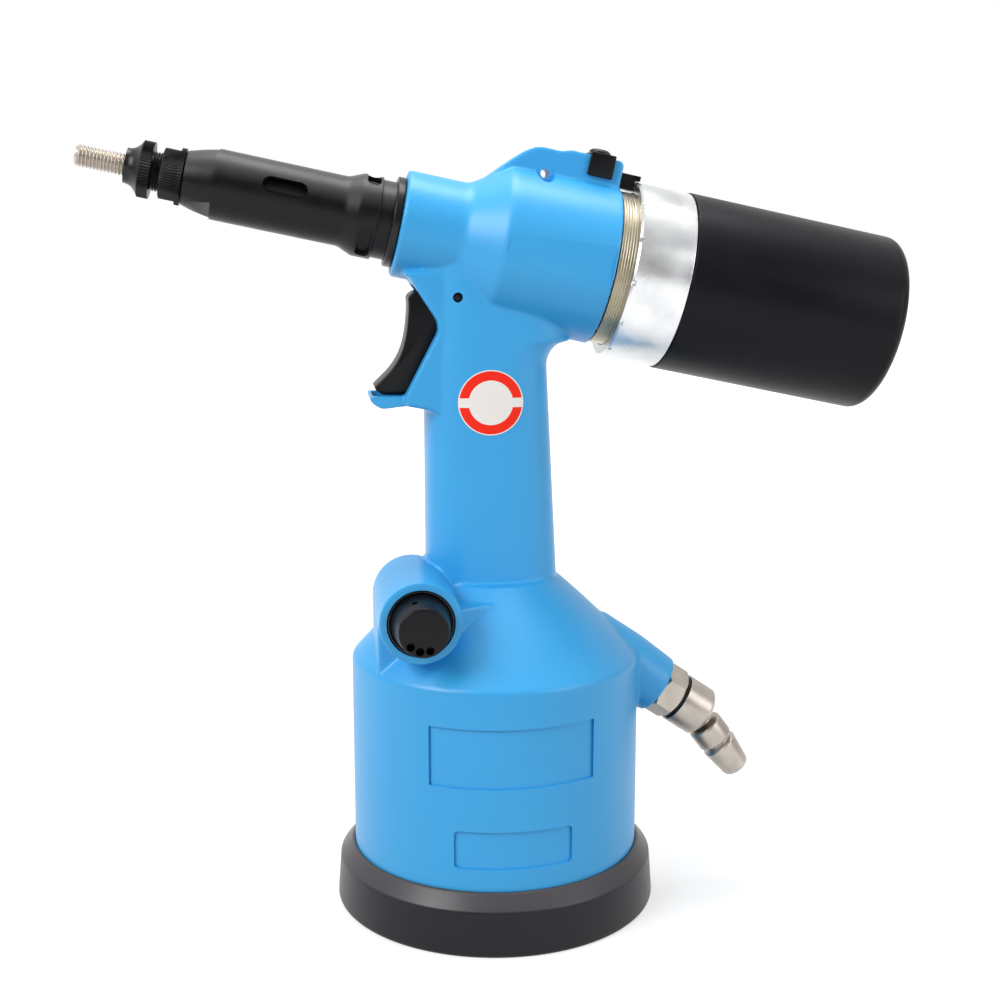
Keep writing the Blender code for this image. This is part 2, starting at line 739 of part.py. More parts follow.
def slot_outline():
    back = TRIGGER_BACK_X + (TRIGGER_PIN_Z - TRIGGER_TAIL_Z) * math.sin(TRIGGER_SWING)
    eye = TRIGGER_EYE_R + 2 * GAP
    top = TRIGGER_PIN_Z + eye
    neck = TRIGGER_PIN_Z - TRIGGER_NECK - 2 * GAP
    floor = slot_floor_z()
    front = LEDGE_TIP_X + LEDGE_LIP
    return [(front, floor), (back, floor), (back, neck), (TRIGGER_PIN_X + eye, neck),
            (TRIGGER_PIN_X + eye, top),
            (front, top)]


def panel_outline(width, heights, corner):
    """A rectangle; a corner radius other than zero rounds it."""
    side = width / 2 - corner
    low = heights[0] + corner
    high = heights[1] - corner
    steps = 3 if corner else 0
    return (arc((side, low), corner, -90, 0, steps) + arc((side, high), corner, 0, 90, steps)
            + arc((-side, high), corner, 90, 180, steps) + arc((-side, low), corner, 180, 270, steps))


def panel_cutter(name, width, heights, corner):
    """A shallow window of even depth in the shroud's side."""
    cutter = plate(name, panel_outline(width, heights, corner), SHROUD_R / 2, BASE)
    cutter.location = (0.0, -SHROUD_R * 0.7, 0.0)
    core_r = SHROUD_R - PANEL_DEPTH
    core = shell(name + "_core", [(0.0, 0.0), (0.0, core_r), (SHOULDER_Z, core_r), (SHOULDER_Z, 0.0)],
                 SEG_SHROUD, BASE)
    cut(cutter, core)
    return cutter


def make_housing():
    housing = mesh_object("handle_housing", build_handle, BASE, "blue_plastic")
    fuse(housing, plate("trigger_block", block_outline(), BLOCK_HALF_WIDTH, BASE))
    cut(housing, plate("trigger_mouth", mouth_outline(), 2 * BLOCK_HALF_WIDTH, BASE))
    fuse(housing, plate("trigger_ledge", ledge_outline(), LEDGE_HALF_WIDTH, BASE))
    barrel = [(BARREL_FRONT_S, 0.0), (BARREL_FRONT_S, BARREL_FRONT_R - BARREL_EDGE),
              (BARREL_FRONT_S + BARREL_EDGE, BARREL_FRONT_R), (BARREL_NECK_S, BARREL_FRONT_R),
              (BARREL_CONE_END_S, BARREL_R - BARREL_EDGE), (BARREL_CONE_END_S + 2 * BARREL_EDGE, BARREL_R),
              (BARREL_REAR_S, BARREL_REAR_R), (BARREL_REAR_S, 0.0)]
    fuse(housing, shell("barrel_shell", barrel, SEG_MID, BARREL))
    for side, turn in (("near", math.pi / 2), ("far", -math.pi / 2)):
        spot_face = rod("spot_face_" + side, (FIN_HALF_WIDTH / 2, FIN_HALF_WIDTH + FIN_FACE_DEPTH),
                        FIN_FACE_R, SEG_SMALL, BARREL)
        spot_face.location = (-FIN_HOLE_H, 0.0, FIN_HOLE_S)
        spot_face.rotation_euler = (turn, 0.0, 0.0)
        cut(housing, spot_face)
    fuse(housing, plate("fin", fin_outline(), FIN_HALF_WIDTH, BASE))
    fuse(housing, shell("base_shell", dome_profile(), SEG_SHROUD, BASE))
    boss = [(-BOSS_BACK_Y, 0.0), (-BOSS_BACK_Y, BOSS_R - BOSS_EDGE), (BOSS_EDGE - BOSS_BACK_Y, BOSS_R),
            (-BOSS_RIM_Y, BOSS_R), (-BOSS_RIM_Y, 0.0)]
    fuse(housing, shell("boss", boss, SEG_MID, VALVE))
    fuse(housing, block("boss_web", (BOSS_X - BOSS_R + GAP, BOSS_WEB_Y[0], BOSS_WEB_Z[0]),
                        (BOSS_WEB_BACK_X, BOSS_WEB_Y[1], BOSS_WEB_Z[1]), BASE))
    arm = [(-ARM_LENGTH, 0.0), (-ARM_LENGTH, ARM_R), (-ARM_TAPER, ARM_R), (0.0, ARM_FACE_R), (0.0, 0.0)]
    fuse(housing, shell("inlet_arm", arm, SEG_SMALL, INLET))
    cut(housing, rod("base_cavity", (SHROUD_FOOT_Z - 0.01, HEAD_TOP_Z + GAP), CAVITY_R, SEG_SHROUD, BASE))
    flange_top = HEAD_TOP_Z + RAM_FLANGE_THICK + 3 * GAP
    ram_way = [(HEAD_Z, 0.0), (HEAD_Z, RAM_FLANGE_R + GAP), (flange_top, RAM_FLANGE_R + GAP),
               (flange_top, RAM_SHAFT_HOLE_R),
               (BARREL_AXIS_Z, RAM_SHAFT_HOLE_R), (BARREL_AXIS_Z, 0.0)]
    cut(housing, turned("ram_way", ram_way, SEG_SMALL, BASE))
    bore = [(BARREL_FRONT_S - 0.01, 0.0), (BARREL_FRONT_S - 0.01, SHANK_R + GAP),
            (BARREL_FRONT_S + BARREL_EDGE * 3, SHANK_R + GAP), (BARREL_FRONT_S + BARREL_EDGE * 3,
                                                                NECK_BORE_R),
            (OIL_NECK_END_S, NECK_BORE_R), (OIL_BODY_S - 2 * GAP, OIL_BORE_IN_HOUSING_R),
            (BARREL_REAR_S + 0.01, OIL_BORE_IN_HOUSING_R), (BARREL_REAR_S + 0.01, 0.0)]
    cut(housing, turned("barrel_bore", bore, SEG_MID, BARREL))
    cut(housing, rod("valve_bore", (-BOSS_BORE_END_Y, 0.01 - BOSS_RIM_Y), BOSS_BORE_R, SEG_MID, VALVE))
    cut(housing, rod("inlet_bore", (-INLET_SHANK_LENGTH - GAP, 0.01), INLET_SHANK_R + GAP, SEG_SMALL,
                     INLET))
    cut(housing, plate("trigger_slot", slot_outline(), TRIGGER_HALF_WIDTH + GAP, BASE))
    cut(housing, rod("pilot_bore", (PILOT_BUSH_FRONT_X, -RAM_TUBE_R), PILOT_BUSH_R + GAP, SEG_SMALL, PILOT))
    pin_hole = rod("trigger_pin_hole", (-2 * BLOCK_HALF_WIDTH, 2 * BLOCK_HALF_WIDTH), TRIGGER_PIN_R + GAP,
                   SEG_PIN, TRIGGER_AXIS)
    pin_hole.rotation_euler = (math.pi / 2, 0.0, 0.0)
    cut(housing, pin_hole)
    hang_hole = rod("fin_hole", (-2 * FIN_HALF_WIDTH, 2 * FIN_HALF_WIDTH), FIN_HOLE_R, SEG_PIN, BARREL)
    hang_hole.location = (-FIN_HOLE_H, 0.0, FIN_HOLE_S)
    hang_hole.rotation_euler = (math.pi / 2, 0.0, 0.0)
    cut(housing, hang_hole)
    cut(housing, barrel_block("latch_channel", (LATCH_CHANNEL_S - 2 * GAP, FIN_REAR_S + 0.01),
                              (BOLT_H[0] - GAP, BOLT_H[1] + GAP), BOLT_HALF_WIDTH + GAP))
    cut(housing, barrel_block("latch_slot", (SCREW_S - LATCH_STROKE - SCREW_R - 2 * GAP,
                                             SCREW_S + SCREW_R + 2 * GAP),
                              (BOLT_H[1], FIN_TOP_H + 0.01), SCREW_R + GAP))
    cut(housing, panel_cutter("upper_panel", PANEL_UPPER_WIDTH, PANEL_UPPER_Z, 0.0))
    cut(housing, panel_cutter("lower_panel", PANEL_LOWER_WIDTH, PANEL_LOWER_Z, PANEL_CORNER))


# Base: boot, cover, air cylinder, head, piston and ram
def make_base():
    boot = [(0.0, 0.0), (0.0, BOOT_FOOT_R - BOOT_EDGE_ROUND), (BOOT_EDGE_ROUND, BOOT_FOOT_R),
            (BOOT_RIM_Z, BOOT_RIM_R),
            (BOOT_TOP_Z, SHROUD_R + 0.0012), (BOOT_TOP_Z, BOOT_BORE_R), (BOOT_FLOOR,
                                                                         BOOT_BORE_R), (BOOT_FLOOR, 0.0)]
    turned("base_boot", boot, SEG_SHROUD, BASE, "black_rubber")
    flange_r = SHROUD_R - COVER_FLANGE_STEP
    cover = [(BOOT_FLOOR + GAP, 0.0), (BOOT_FLOOR + GAP, flange_r), (SHROUD_FOOT_Z - GAP, flange_r),
             (SHROUD_FOOT_Z - GAP, CYLINDER_R), (COVER_TOP_Z, CYLINDER_R), (COVER_TOP_Z, 0.0)]
    turned("cylinder_cover", cover, SEG_LARGE, BASE, "aluminium")
    tube("air_cylinder", (COVER_TOP_Z + GAP, HEAD_Z - GAP), CYLINDER_R, CYLINDER_BORE_R, SEG_LARGE, BASE,
         "aluminium")
    seal_z = HEAD_TOP_Z - SEAL_WIDTH
    head = [(HEAD_Z, RAM_BORE_R), (HEAD_Z, CYLINDER_R), (HEAD_TOP_Z, CYLINDER_R),
            (HEAD_TOP_Z, RAM_BORE_R + SEAL_DEPTH + GAP), (seal_z,
                                                          RAM_BORE_R + SEAL_DEPTH + GAP), (seal_z,
                                                                                           RAM_BORE_R)]
    turned("cylinder_head", head, SEG_LARGE, BASE, "aluminium")
    tube("ram_seal", (seal_z + GAP, HEAD_TOP_Z), RAM_BORE_R + SEAL_DEPTH, RAM_BORE_R, SEG_SMALL, BASE,
         "black_rubber")
    groove_z = PISTON_Z + (PISTON_HEIGHT - SEAL_WIDTH) / 2
    groove_r = PISTON_R - SEAL_DEPTH
    pocket_r = RAM_NUT_R + 2 * GAP
    piston = [(PISTON_Z, pocket_r), (PISTON_Z, PISTON_R), (groove_z, PISTON_R), (groove_z, groove_r),
              (groove_z + SEAL_WIDTH, groove_r), (groove_z + SEAL_WIDTH,
                                                  PISTON_R), (PISTON_TOP_Z, PISTON_R),
              (PISTON_TOP_Z, RAM_STUD_R + GAP), (PISTON_Z + PISTON_NUT_POCKET, RAM_STUD_R + GAP),
              (PISTON_Z + PISTON_NUT_POCKET, pocket_r)]
    turned("air_piston", piston, SEG_LARGE, BASE, "aluminium")
    tube("piston_seal", (groove_z + GAP, groove_z + SEAL_WIDTH - GAP), CYLINDER_BORE_R - GAP,
         groove_r + GAP,
         SEG_LARGE, BASE, "black_rubber")
    ram = [(PISTON_Z + 2 * GAP, 0.0), (PISTON_Z + 2 * GAP, RAM_STUD_R), (PISTON_TOP_Z + GAP, RAM_STUD_R),
           (PISTON_TOP_Z + GAP, RAM_R), (RAM_TOP_Z, RAM_R), (RAM_TOP_Z, 0.0)]
    turned("ram_rod", ram, SEG_SMALL, BASE, "bright_steel")
    nut_top = PISTON_Z + PISTON_NUT_POCKET - GAP
    nut = hexagon("ram_nut", (nut_top - RAM_NUT_HEIGHT, nut_top), RAM_NUT_R * math.sqrt(3), BASE,
                  "bright_steel")
    cut(nut, rod("ram_nut_hole", (PISTON_Z - 0.01, PISTON_TOP_Z), RAM_STUD_R + GAP, SEG_SMALL, BASE))
    coil("piston_spring", (PISTON_TOP_Z + GAP, HEAD_Z - GAP), PISTON_SPRING_R, PISTON_SPRING_WIRE_R,
         PISTON_SPRING_TURNS, BASE, "bright_steel")
    tube_z = HEAD_TOP_Z + GAP
    ram_tube = [(tube_z, RAM_BORE_R), (tube_z, RAM_FLANGE_R), (tube_z + RAM_FLANGE_THICK, RAM_FLANGE_R),
                (tube_z + RAM_FLANGE_THICK, RAM_TUBE_R), (RAM_TUBE_TOP_Z,
                                                          RAM_TUBE_R), (RAM_TUBE_TOP_Z, RAM_BORE_R)]
    turned("ram_tube", ram_tube, SEG_SMALL, BASE, "bright_steel")


# Trigger, its pin and the pilot valve behind it
def trigger_outline():
    """Side view round the pin, which is at (0, 0)."""
    tail_x = TRIGGER_TAIL_X - TRIGGER_PIN_X
    tail_z = TRIGGER_TAIL_Z - TRIGGER_PIN_Z
    back_x = TRIGGER_BACK_X - TRIGGER_PIN_X
    points = list(zip(TRIGGER_FRONT_X, TRIGGER_FRONT_H))
    points += [(tail_x, tail_z + 0.0027), (tail_x + 0.0006, tail_z + 0.0013), (tail_x + 0.0030, tail_z),
               (TRIGGER_HEEL_X, tail_z + 0.0006), (back_x, tail_z + 0.0060), (back_x, -TRIGGER_NECK)]
    return points + arc((0.0, 0.0), TRIGGER_EYE_R, -60, 90, 6)


def make_trigger():
    trigger = plate("trigger", trigger_outline(), TRIGGER_HALF_WIDTH, TRIGGER_AXIS, "black_plastic")
    pocket_front = PILOT_BUSH_FRONT_X - TRIGGER_WALL + GAP
    low = (pocket_front - TRIGGER_PIN_X, -TRIGGER_POCKET_HALF_WIDTH, -2 * TRIGGER_TAIL_DROP)
    high = (2 * TRIGGER_EYE_R, TRIGGER_POCKET_HALF_WIDTH, PILOT_Z + 3 * PILOT_BUSH_R - TRIGGER_PIN_Z)
    cut(trigger, block("trigger_pocket", low, high, TRIGGER_AXIS))
    hole = rod("trigger_hole", (-2 * TRIGGER_HALF_WIDTH, 2 * TRIGGER_HALF_WIDTH), TRIGGER_PIN_R + GAP,
               SEG_PIN, TRIGGER_AXIS)
    hole.rotation_euler = (math.pi / 2, 0.0, 0.0)
    cut(trigger, hole)
    pin = rod("trigger_pin", (-BLOCK_HALF_WIDTH, BLOCK_HALF_WIDTH), TRIGGER_PIN_R, SEG_PIN, TRIGGER_AXIS,
              "black_oxide_steel")
    pin.rotation_euler = (math.pi / 2, 0.0, 0.0)
    head_back = PILOT_BUSH_FRONT_X - TRIGGER_WALL + 2 * GAP + PILOT_HEAD_THICK
    bush_rear = -RAM_SHAFT_HOLE_R - GAP
    spring_seat = PILOT_BUSH_FRONT_X + (bush_rear - PILOT_BUSH_FRONT_X) / 3
    bush = [(PILOT_BUSH_FRONT_X, PILOT_HEAD_R + GAP), (PILOT_BUSH_FRONT_X, PILOT_BUSH_R),
            (bush_rear, PILOT_BUSH_R),
            (bush_rear, PILOT_STEM_R + GAP), (spring_seat, PILOT_STEM_R + GAP), (spring_seat,
                                                                                 PILOT_HEAD_R + GAP)]
    turned("pilot_bush", bush, SEG_SMALL, PILOT, "bronze")
    stem_rear = bush_rear - (TRIGGER_PIN_Z - PILOT_Z) * math.sin(TRIGGER_SWING)
    stem = [(head_back - PILOT_HEAD_THICK, 0.0), (head_back - PILOT_HEAD_THICK + GAP, PILOT_HEAD_R / 2),
            (head_back - PILOT_HEAD_THICK / 2, PILOT_HEAD_R), (head_back,
                                                               PILOT_HEAD_R), (head_back, PILOT_STEM_R),
            (stem_rear, PILOT_STEM_R), (stem_rear, 0.0)]
    turned("pilot_stem", stem, SEG_PIN, PILOT, "bright_steel")
    coil("pilot_spring", (head_back + GAP, spring_seat - GAP), PILOT_STEM_R + GAP + 2 * PILOT_SPRING_WIRE_R,
         PILOT_SPRING_WIRE_R, PILOT_SPRING_TURNS, PILOT, "bright_steel")


# Main valve: bush, spool, spring, cap and seal
def make_valve():
    shank_r = BOSS_BORE_R - GAP
    seat = -BOSS_RIM_Y - CAP_SEAT
    shank_back = seat - CAP_SHANK_LENGTH
    face = -BOSS_RIM_Y + CAP_PROUD
    hollow_end = face - CAP_WALL
    cap = [(shank_back, shank_r - CAP_WALL), (shank_back, shank_r), (seat, shank_r),
           (seat, CAP_BASE_R - GAP),
           (-BOSS_RIM_Y, CAP_BASE_R), (face - CAP_EDGE, CAP_FACE_R + CAP_EDGE / 2), (face,
                                                                                     CAP_FACE_R), (face,
                                                                                                   0.0),
           (hollow_end, 0.0), (hollow_end, CAP_FACE_R - CAP_WALL + GAP), (seat, CAP_BASE_R - CAP_WALL)]
    valve_cap = turned("valve_cap", cap, SEG_MID, VALVE, "black_plastic")
    for angle in CAP_HOLE_ANGLES:
        hole = rod("cap_hole_%d" % angle, (hollow_end - CAP_WALL, face + CAP_WALL), CAP_HOLE_R, SEG_PIN,
                   VALVE)
        turn = math.radians(angle)
        hole.location = (CAP_HOLE_PITCH_R * math.cos(turn), CAP_HOLE_PITCH_R * math.sin(turn), 0.0)
        cut(valve_cap, hole)
    side_hole = rod("cap_side_hole", (CAP_FACE_R - CAP_WALL - CAP_EDGE, 2 * CAP_BASE_R), CAP_SIDE_HOLE_R,
                    SEG_PIN, VALVE)
    side_hole.location = (0.0, 0.0, (face - BOSS_RIM_Y) / 2)
    side_hole.rotation_euler = (-math.pi / 2, 0.0, CAP_SIDE_HOLE_TURN)
    cut(valve_cap, side_hole)
    tube("cap_seal", (seat + GAP, -BOSS_RIM_Y - GAP), shank_r, CAP_BASE_R + GAP, SEG_MID, VALVE,
         "black_rubber")
    bush_r = BOSS_BORE_R - GAP
    bush_front = -BOSS_BORE_END_Y + GAP
    tube("valve_bush", (bush_front, shank_back - GAP), bush_r, bush_r - VALVE_BUSH_WALL, SEG_INNER, VALVE,
         "bronze")
    spool_end = bush_front + SPOOL_LENGTH
    land = SPOOL_LENGTH / 5
    spool = [(bush_front, 0.0), (bush_front, SPOOL_R), (bush_front + land, SPOOL_R),
             (bush_front + land, SPOOL_WAIST_R),
             (bush_front + 2 * land, SPOOL_WAIST_R), (bush_front + 2 * land,
                                                      SPOOL_R), (bush_front + 3 * land, SPOOL_R),
             (bush_front + 3 * land, SPOOL_WAIST_R), (bush_front + 4 * land,
                                                      SPOOL_WAIST_R), (bush_front + 4 * land, SPOOL_R),
             (spool_end, SPOOL_R), (spool_end, 0.0)]
    turned("valve_spool", spool, SEG_INNER, VALVE, "bright_steel")
    coil("spool_spring", (spool_end + GAP, hollow_end - GAP),
         CAP_FACE_R - CAP_WALL - SPOOL_SPRING_WIRE_R - GAP,
         SPOOL_SPRING_WIRE_R, SPOOL_SPRING_TURNS, VALVE, "bright_steel")


# Air inlet: hex bushing, seal, swivel body and ball nipple
def make_inlet():
    hex_end = GAP + HEX_LENGTH
    bushing = hexagon("inlet_bushing", (GAP, hex_end), HEX_FLATS, INLET, "nickel")
    corner = HEX_FLATS / math.sqrt(3)
    chamfered = [(GAP, 0.0), (GAP, HEX_FLATS / 2), (GAP + HEX_CHAMFER, corner + GAP),
                 (hex_end - HEX_CHAMFER, corner + GAP),
                 (hex_end, HEX_FLATS / 2), (hex_end, 0.0)]
    combine(bushing, turned("hex_chamfer", chamfered, SEG_SMALL, INLET), 'INTERSECT')
    fuse(bushing, rod("inlet_shank", (-INLET_SHANK_LENGTH, hex_end / 2), INLET_SHANK_R, SEG_SMALL, INLET))
    cut(bushing, rod("inlet_hole", (-0.02, 0.02), INLET_BORE_R, SEG_PIN, INLET))
    seal_end = hex_end + GAP + INLET_SEAL_THICK
    tube("inlet_seal", (hex_end + GAP, seal_end), SWIVEL_R - 2 * GAP, BALL_R + GAP, SEG_SMALL, INLET,
         "black_rubber")
    back = seal_end + GAP
    front = back + SWIVEL_LENGTH
    cup_r = BALL_R + GAP
    lip_s = BALL_CENTRE + BALL_R / 2
    lip_r = math.sqrt(BALL_R ** 2 - (BALL_R / 2) ** 2) + GAP
    swivel = [(back, cup_r), (back, SWIVEL_R - HEX_CHAMFER / 2), (back + HEX_CHAMFER / 2, SWIVEL_R),
              (front - SWIVEL_CHAMFER, SWIVEL_R), (front, SWIVEL_R - SWIVEL_CHAMFER), (front,
                                                                                       BALL_R + 2 * GAP),
              (lip_s, lip_r), (BALL_CENTRE + BALL_R / 4, cup_r)]
    turned("swivel_body", swivel, SEG_SMALL + 4, INLET, "nickel")
    neck_angle = math.asin(NIPPLE_NECK_R / BALL_R)
    back_angle = math.pi - math.acos(BALL_BACK / BALL_R)
    ball = []
    for i in range(BALL_STEPS + 1):
        angle = back_angle + (neck_angle - back_angle) * i / BALL_STEPS
        ball.append((BALL_R * math.cos(angle), BALL_R * math.sin(angle)))
    collar_back, collar_front = NIPPLE_COLLAR_S
    nipple = [(-BALL_BACK, NIPPLE_BORE_R)] + ball
    nipple += [(collar_back - NIPPLE_EDGE, NIPPLE_NECK_R), (collar_back, NIPPLE_COLLAR_R - NIPPLE_EDGE),
               (collar_back + NIPPLE_EDGE, NIPPLE_COLLAR_R), (collar_front - NIPPLE_EDGE, NIPPLE_COLLAR_R),
               (collar_front, NIPPLE_GROOVE_R), (NIPPLE_HEAD_S - NIPPLE_EDGE, NIPPLE_GROOVE_R),
               (NIPPLE_HEAD_S, NIPPLE_COLLAR_R), (NIPPLE_TIP_S - 2 * NIPPLE_EDGE, NIPPLE_TIP_R),
               (NIPPLE_TIP_S, NIPPLE_TIP_R - NIPPLE_EDGE), (NIPPLE_TIP_S, NIPPLE_BORE_R)]
    turned("air_nipple", nipple, SEG_SMALL, NIPPLE, "nickel")


# Oil cylinder, gland, draw piston and its spring
def make_oil_parts():
    cylinder = [(BARREL_FRONT_S + BARREL_EDGE * 3 + GAP, SHANK_R + GAP),
                (BARREL_FRONT_S + BARREL_EDGE * 3 + GAP, OIL_NECK_R),
                (OIL_NECK_END_S, OIL_NECK_R), (OIL_BODY_S, OIL_BODY_R), (BARREL_REAR_S + GAP, OIL_BODY_R),
                (BARREL_REAR_S + GAP, OIL_THREAD_R), (OIL_REAR_S, OIL_THREAD_R), (OIL_REAR_S, OIL_BORE_R),
                (OIL_BORE_S, OIL_BORE_R), (OIL_BORE_S, ROD_R + GAP), (OIL_SOCKET_END_S, ROD_R + GAP),
                (OIL_SOCKET_END_S, SHANK_R + GAP)]
    turned("oil_cylinder", cylinder, SEG_MID, BARREL, "thread_steel")
    gland_end = OIL_SOCKET_END_S - GAP
    tube("cylinder_gland", (gland_end - GLAND_THICK, gland_end), SHANK_R, ROD_R + GAP, SEG_INNER, BARREL,
         "bronze")
    front, rear = DRAW_PISTON_S
    head_r = OIL_BORE_R - 2 * GAP
    groove = (front + rear - DRAW_SEAL_WIDTH) / 2
    groove_r = head_r - DRAW_SEAL_DEPTH
    bore_r = SHAFT_R + GAP
    spigot_s = ROD_FRONT_S - ROD_SPIGOT_LENGTH
    piston = [(spigot_s, bore_r), (spigot_s, ROD_SPIGOT_R), (ROD_FRONT_S, ROD_SPIGOT_R),
              (ROD_FRONT_S, ROD_R),
              (front, ROD_R), (front, head_r), (groove, head_r), (groove,
                                                                  groove_r), (groove + DRAW_SEAL_WIDTH,
                                                                              groove_r),
              (groove + DRAW_SEAL_WIDTH, head_r), (rear, head_r), (rear, bore_r)]
    turned("draw_piston", piston, SEG_INNER, BARREL, "bright_steel")
    tube("draw_seal", (groove + GAP, groove + DRAW_SEAL_WIDTH - GAP), OIL_BORE_R - GAP, groove_r + GAP,
         SEG_INNER, BARREL,
         "black_rubber")
    coil("draw_spring", (rear + GAP, SPRING_SEAT_S - GAP), DRAW_SPRING_R, DRAW_SPRING_WIRE_R,
         DRAW_SPRING_TURNS, BARREL,
         "bright_steel")
    tube("spring_seat", (SPRING_SEAT_S, SPRING_SEAT_S + SPRING_SEAT_THICK), OIL_BORE_R - GAP,
         SPRING_SEAT_HOLE_R, SEG_INNER,
         BARREL, "bright_steel")


# Nose: sleeve, lock ring, nosepiece, lock nut and what pulls the mandrel
def radial_block(name, s_middle, angle, distance, length, width, depth):
    """A box whose inner face is at a distance from the barrel axis, at an angle above the -Y side."""
    cutter = block(name, (distance, -width / 2, -length / 2), (distance + depth, width / 2, length / 2),
                   BARREL)
    cutter.location = (0.0, 0.0, s_middle)
    cutter.rotation_euler = (0.0, 0.0, -math.pi / 2 - angle)
    return cutter


def obround(length, width):
    """A slot outline with round ends."""
    reach = (length - width) / 2
    return arc((reach, 0.0), width / 2, -90, 90, 5) + arc((-reach, 0.0), width / 2, 90, 270, 5)


def sleeve_slot(name, outline, half_depth, s_middle, angle, distance, turn):
    """A slot cutter in the nose, at an angle above the -Y side; turn lays it along or across the sleeve."""
    cutter = plate(name, outline, half_depth, BARREL)
    cutter.matrix_local = (Matrix.Translation((0.0, 0.0, s_middle)) @ Matrix.Rotation(-angle, 4, 'Z')
                           @ Matrix.Translation((0.0, -distance, 0.0)) @ Matrix.Rotation(turn, 4, 'Y'))
    return cutter


def make_nose():
    sleeve = [(SLEEVE_FRONT_S, NOSE_THREAD_R + GAP), (SLEEVE_FRONT_S, SLEEVE_FRONT_R),
              (SLEEVE_CONE_END_S, SLEEVE_R),
              (SLEEVE_TAPER_S[0], SLEEVE_R), (SLEEVE_TAPER_S[1],
                                              COLLAR_R), (COLLAR_END_S,
                                                          COLLAR_R), (COLLAR_END_S, SHANK_R),
              (SHANK_END_S, SHANK_R), (SHANK_END_S, SLEEVE_BORE_R), (SLEEVE_LIP_S, SLEEVE_BORE_R),
              (SLEEVE_LIP_S, NOSE_THREAD_R + GAP)]
    nose_sleeve = turned("nose_sleeve", sleeve, SEG_MID, BARREL, "black_oxide_steel")
    window = sleeve_slot("window", obround(WINDOW_LENGTH, WINDOW_WIDTH), SLEEVE_R, WINDOW_S, WINDOW_ANGLE,
                         SLEEVE_R,
                         -math.pi / 2)
    cut(nose_sleeve, window)
    flat_length = 2 * (SLEEVE_CONE_END_S - SLEEVE_FRONT_S)
    for side, turn in (("near", 0.0), ("far", math.pi)):
        cut(nose_sleeve, radial_block("flat_" + side, SLEEVE_FRONT_S, FLAT_ANGLE + turn, FLAT_DISTANCE,
                                      flat_length,
                                      2 * SLEEVE_R, SLEEVE_R))
    slot_s = (SLEEVE_TAPER_S[1] + COLLAR_END_S) / 2
    slot = obround(SPANNER_SLOT_WIDTH, SPANNER_SLOT_LENGTH)
    for angle in SPANNER_SLOT_ANGLES:
        cut(nose_sleeve, sleeve_slot("spanner_slot_%d" % angle, slot, SPANNER_SLOT_DEPTH, slot_s,
                                     math.radians(angle),
                                     COLLAR_R, 0.0))
    ring_end = BARREL_FRONT_S - GAP
    tube("sleeve_lock_ring", (ring_end - LOCK_RING_THICK, ring_end), LOCK_RING_R, SHANK_R + GAP, SEG_MID,
         BARREL,
         "black_oxide_steel")
    flange_front, flange_back = NOSE_FLANGE_S
    flare = []
    for i in range(NOSE_FLARE_STEPS + 1):
        t = i / NOSE_FLARE_STEPS
        flare.append((NOSE_FRONT_S + (flange_front - NOSE_FRONT_S) * t,
                      NOSE_FRONT_R + (NOSE_FLANGE_R - NOSE_FRONT_R) * t ** 2.5))
    bore_r = MANDREL_R + GAP
    nose = [(NOSE_FRONT_S, bore_r)] + flare
    nose += [(flange_back, NOSE_FLANGE_R), (flange_back, NOSE_THREAD_R), (NOSE_THREAD_END_S, NOSE_THREAD_R),
             (NOSE_THREAD_END_S, bore_r)]
    turned("nosepiece", nose, SEG_MID, BARREL, "black_oxide_steel")
    nut_end = SLEEVE_FRONT_S - GAP
    nut = [(NUT_FRONT_S, NOSE_THREAD_R + GAP), (NUT_FRONT_S, NUT_FRONT_R), (NUT_RIM_S, NUT_FRONT_R),
           (NUT_RIM_S, NUT_RIM_R),
           (nut_end, NUT_RIM_R), (nut_end, NOSE_THREAD_R + GAP)]
    turned("lock_nut", nut, SEG_MID, BARREL, "black_oxide_steel")


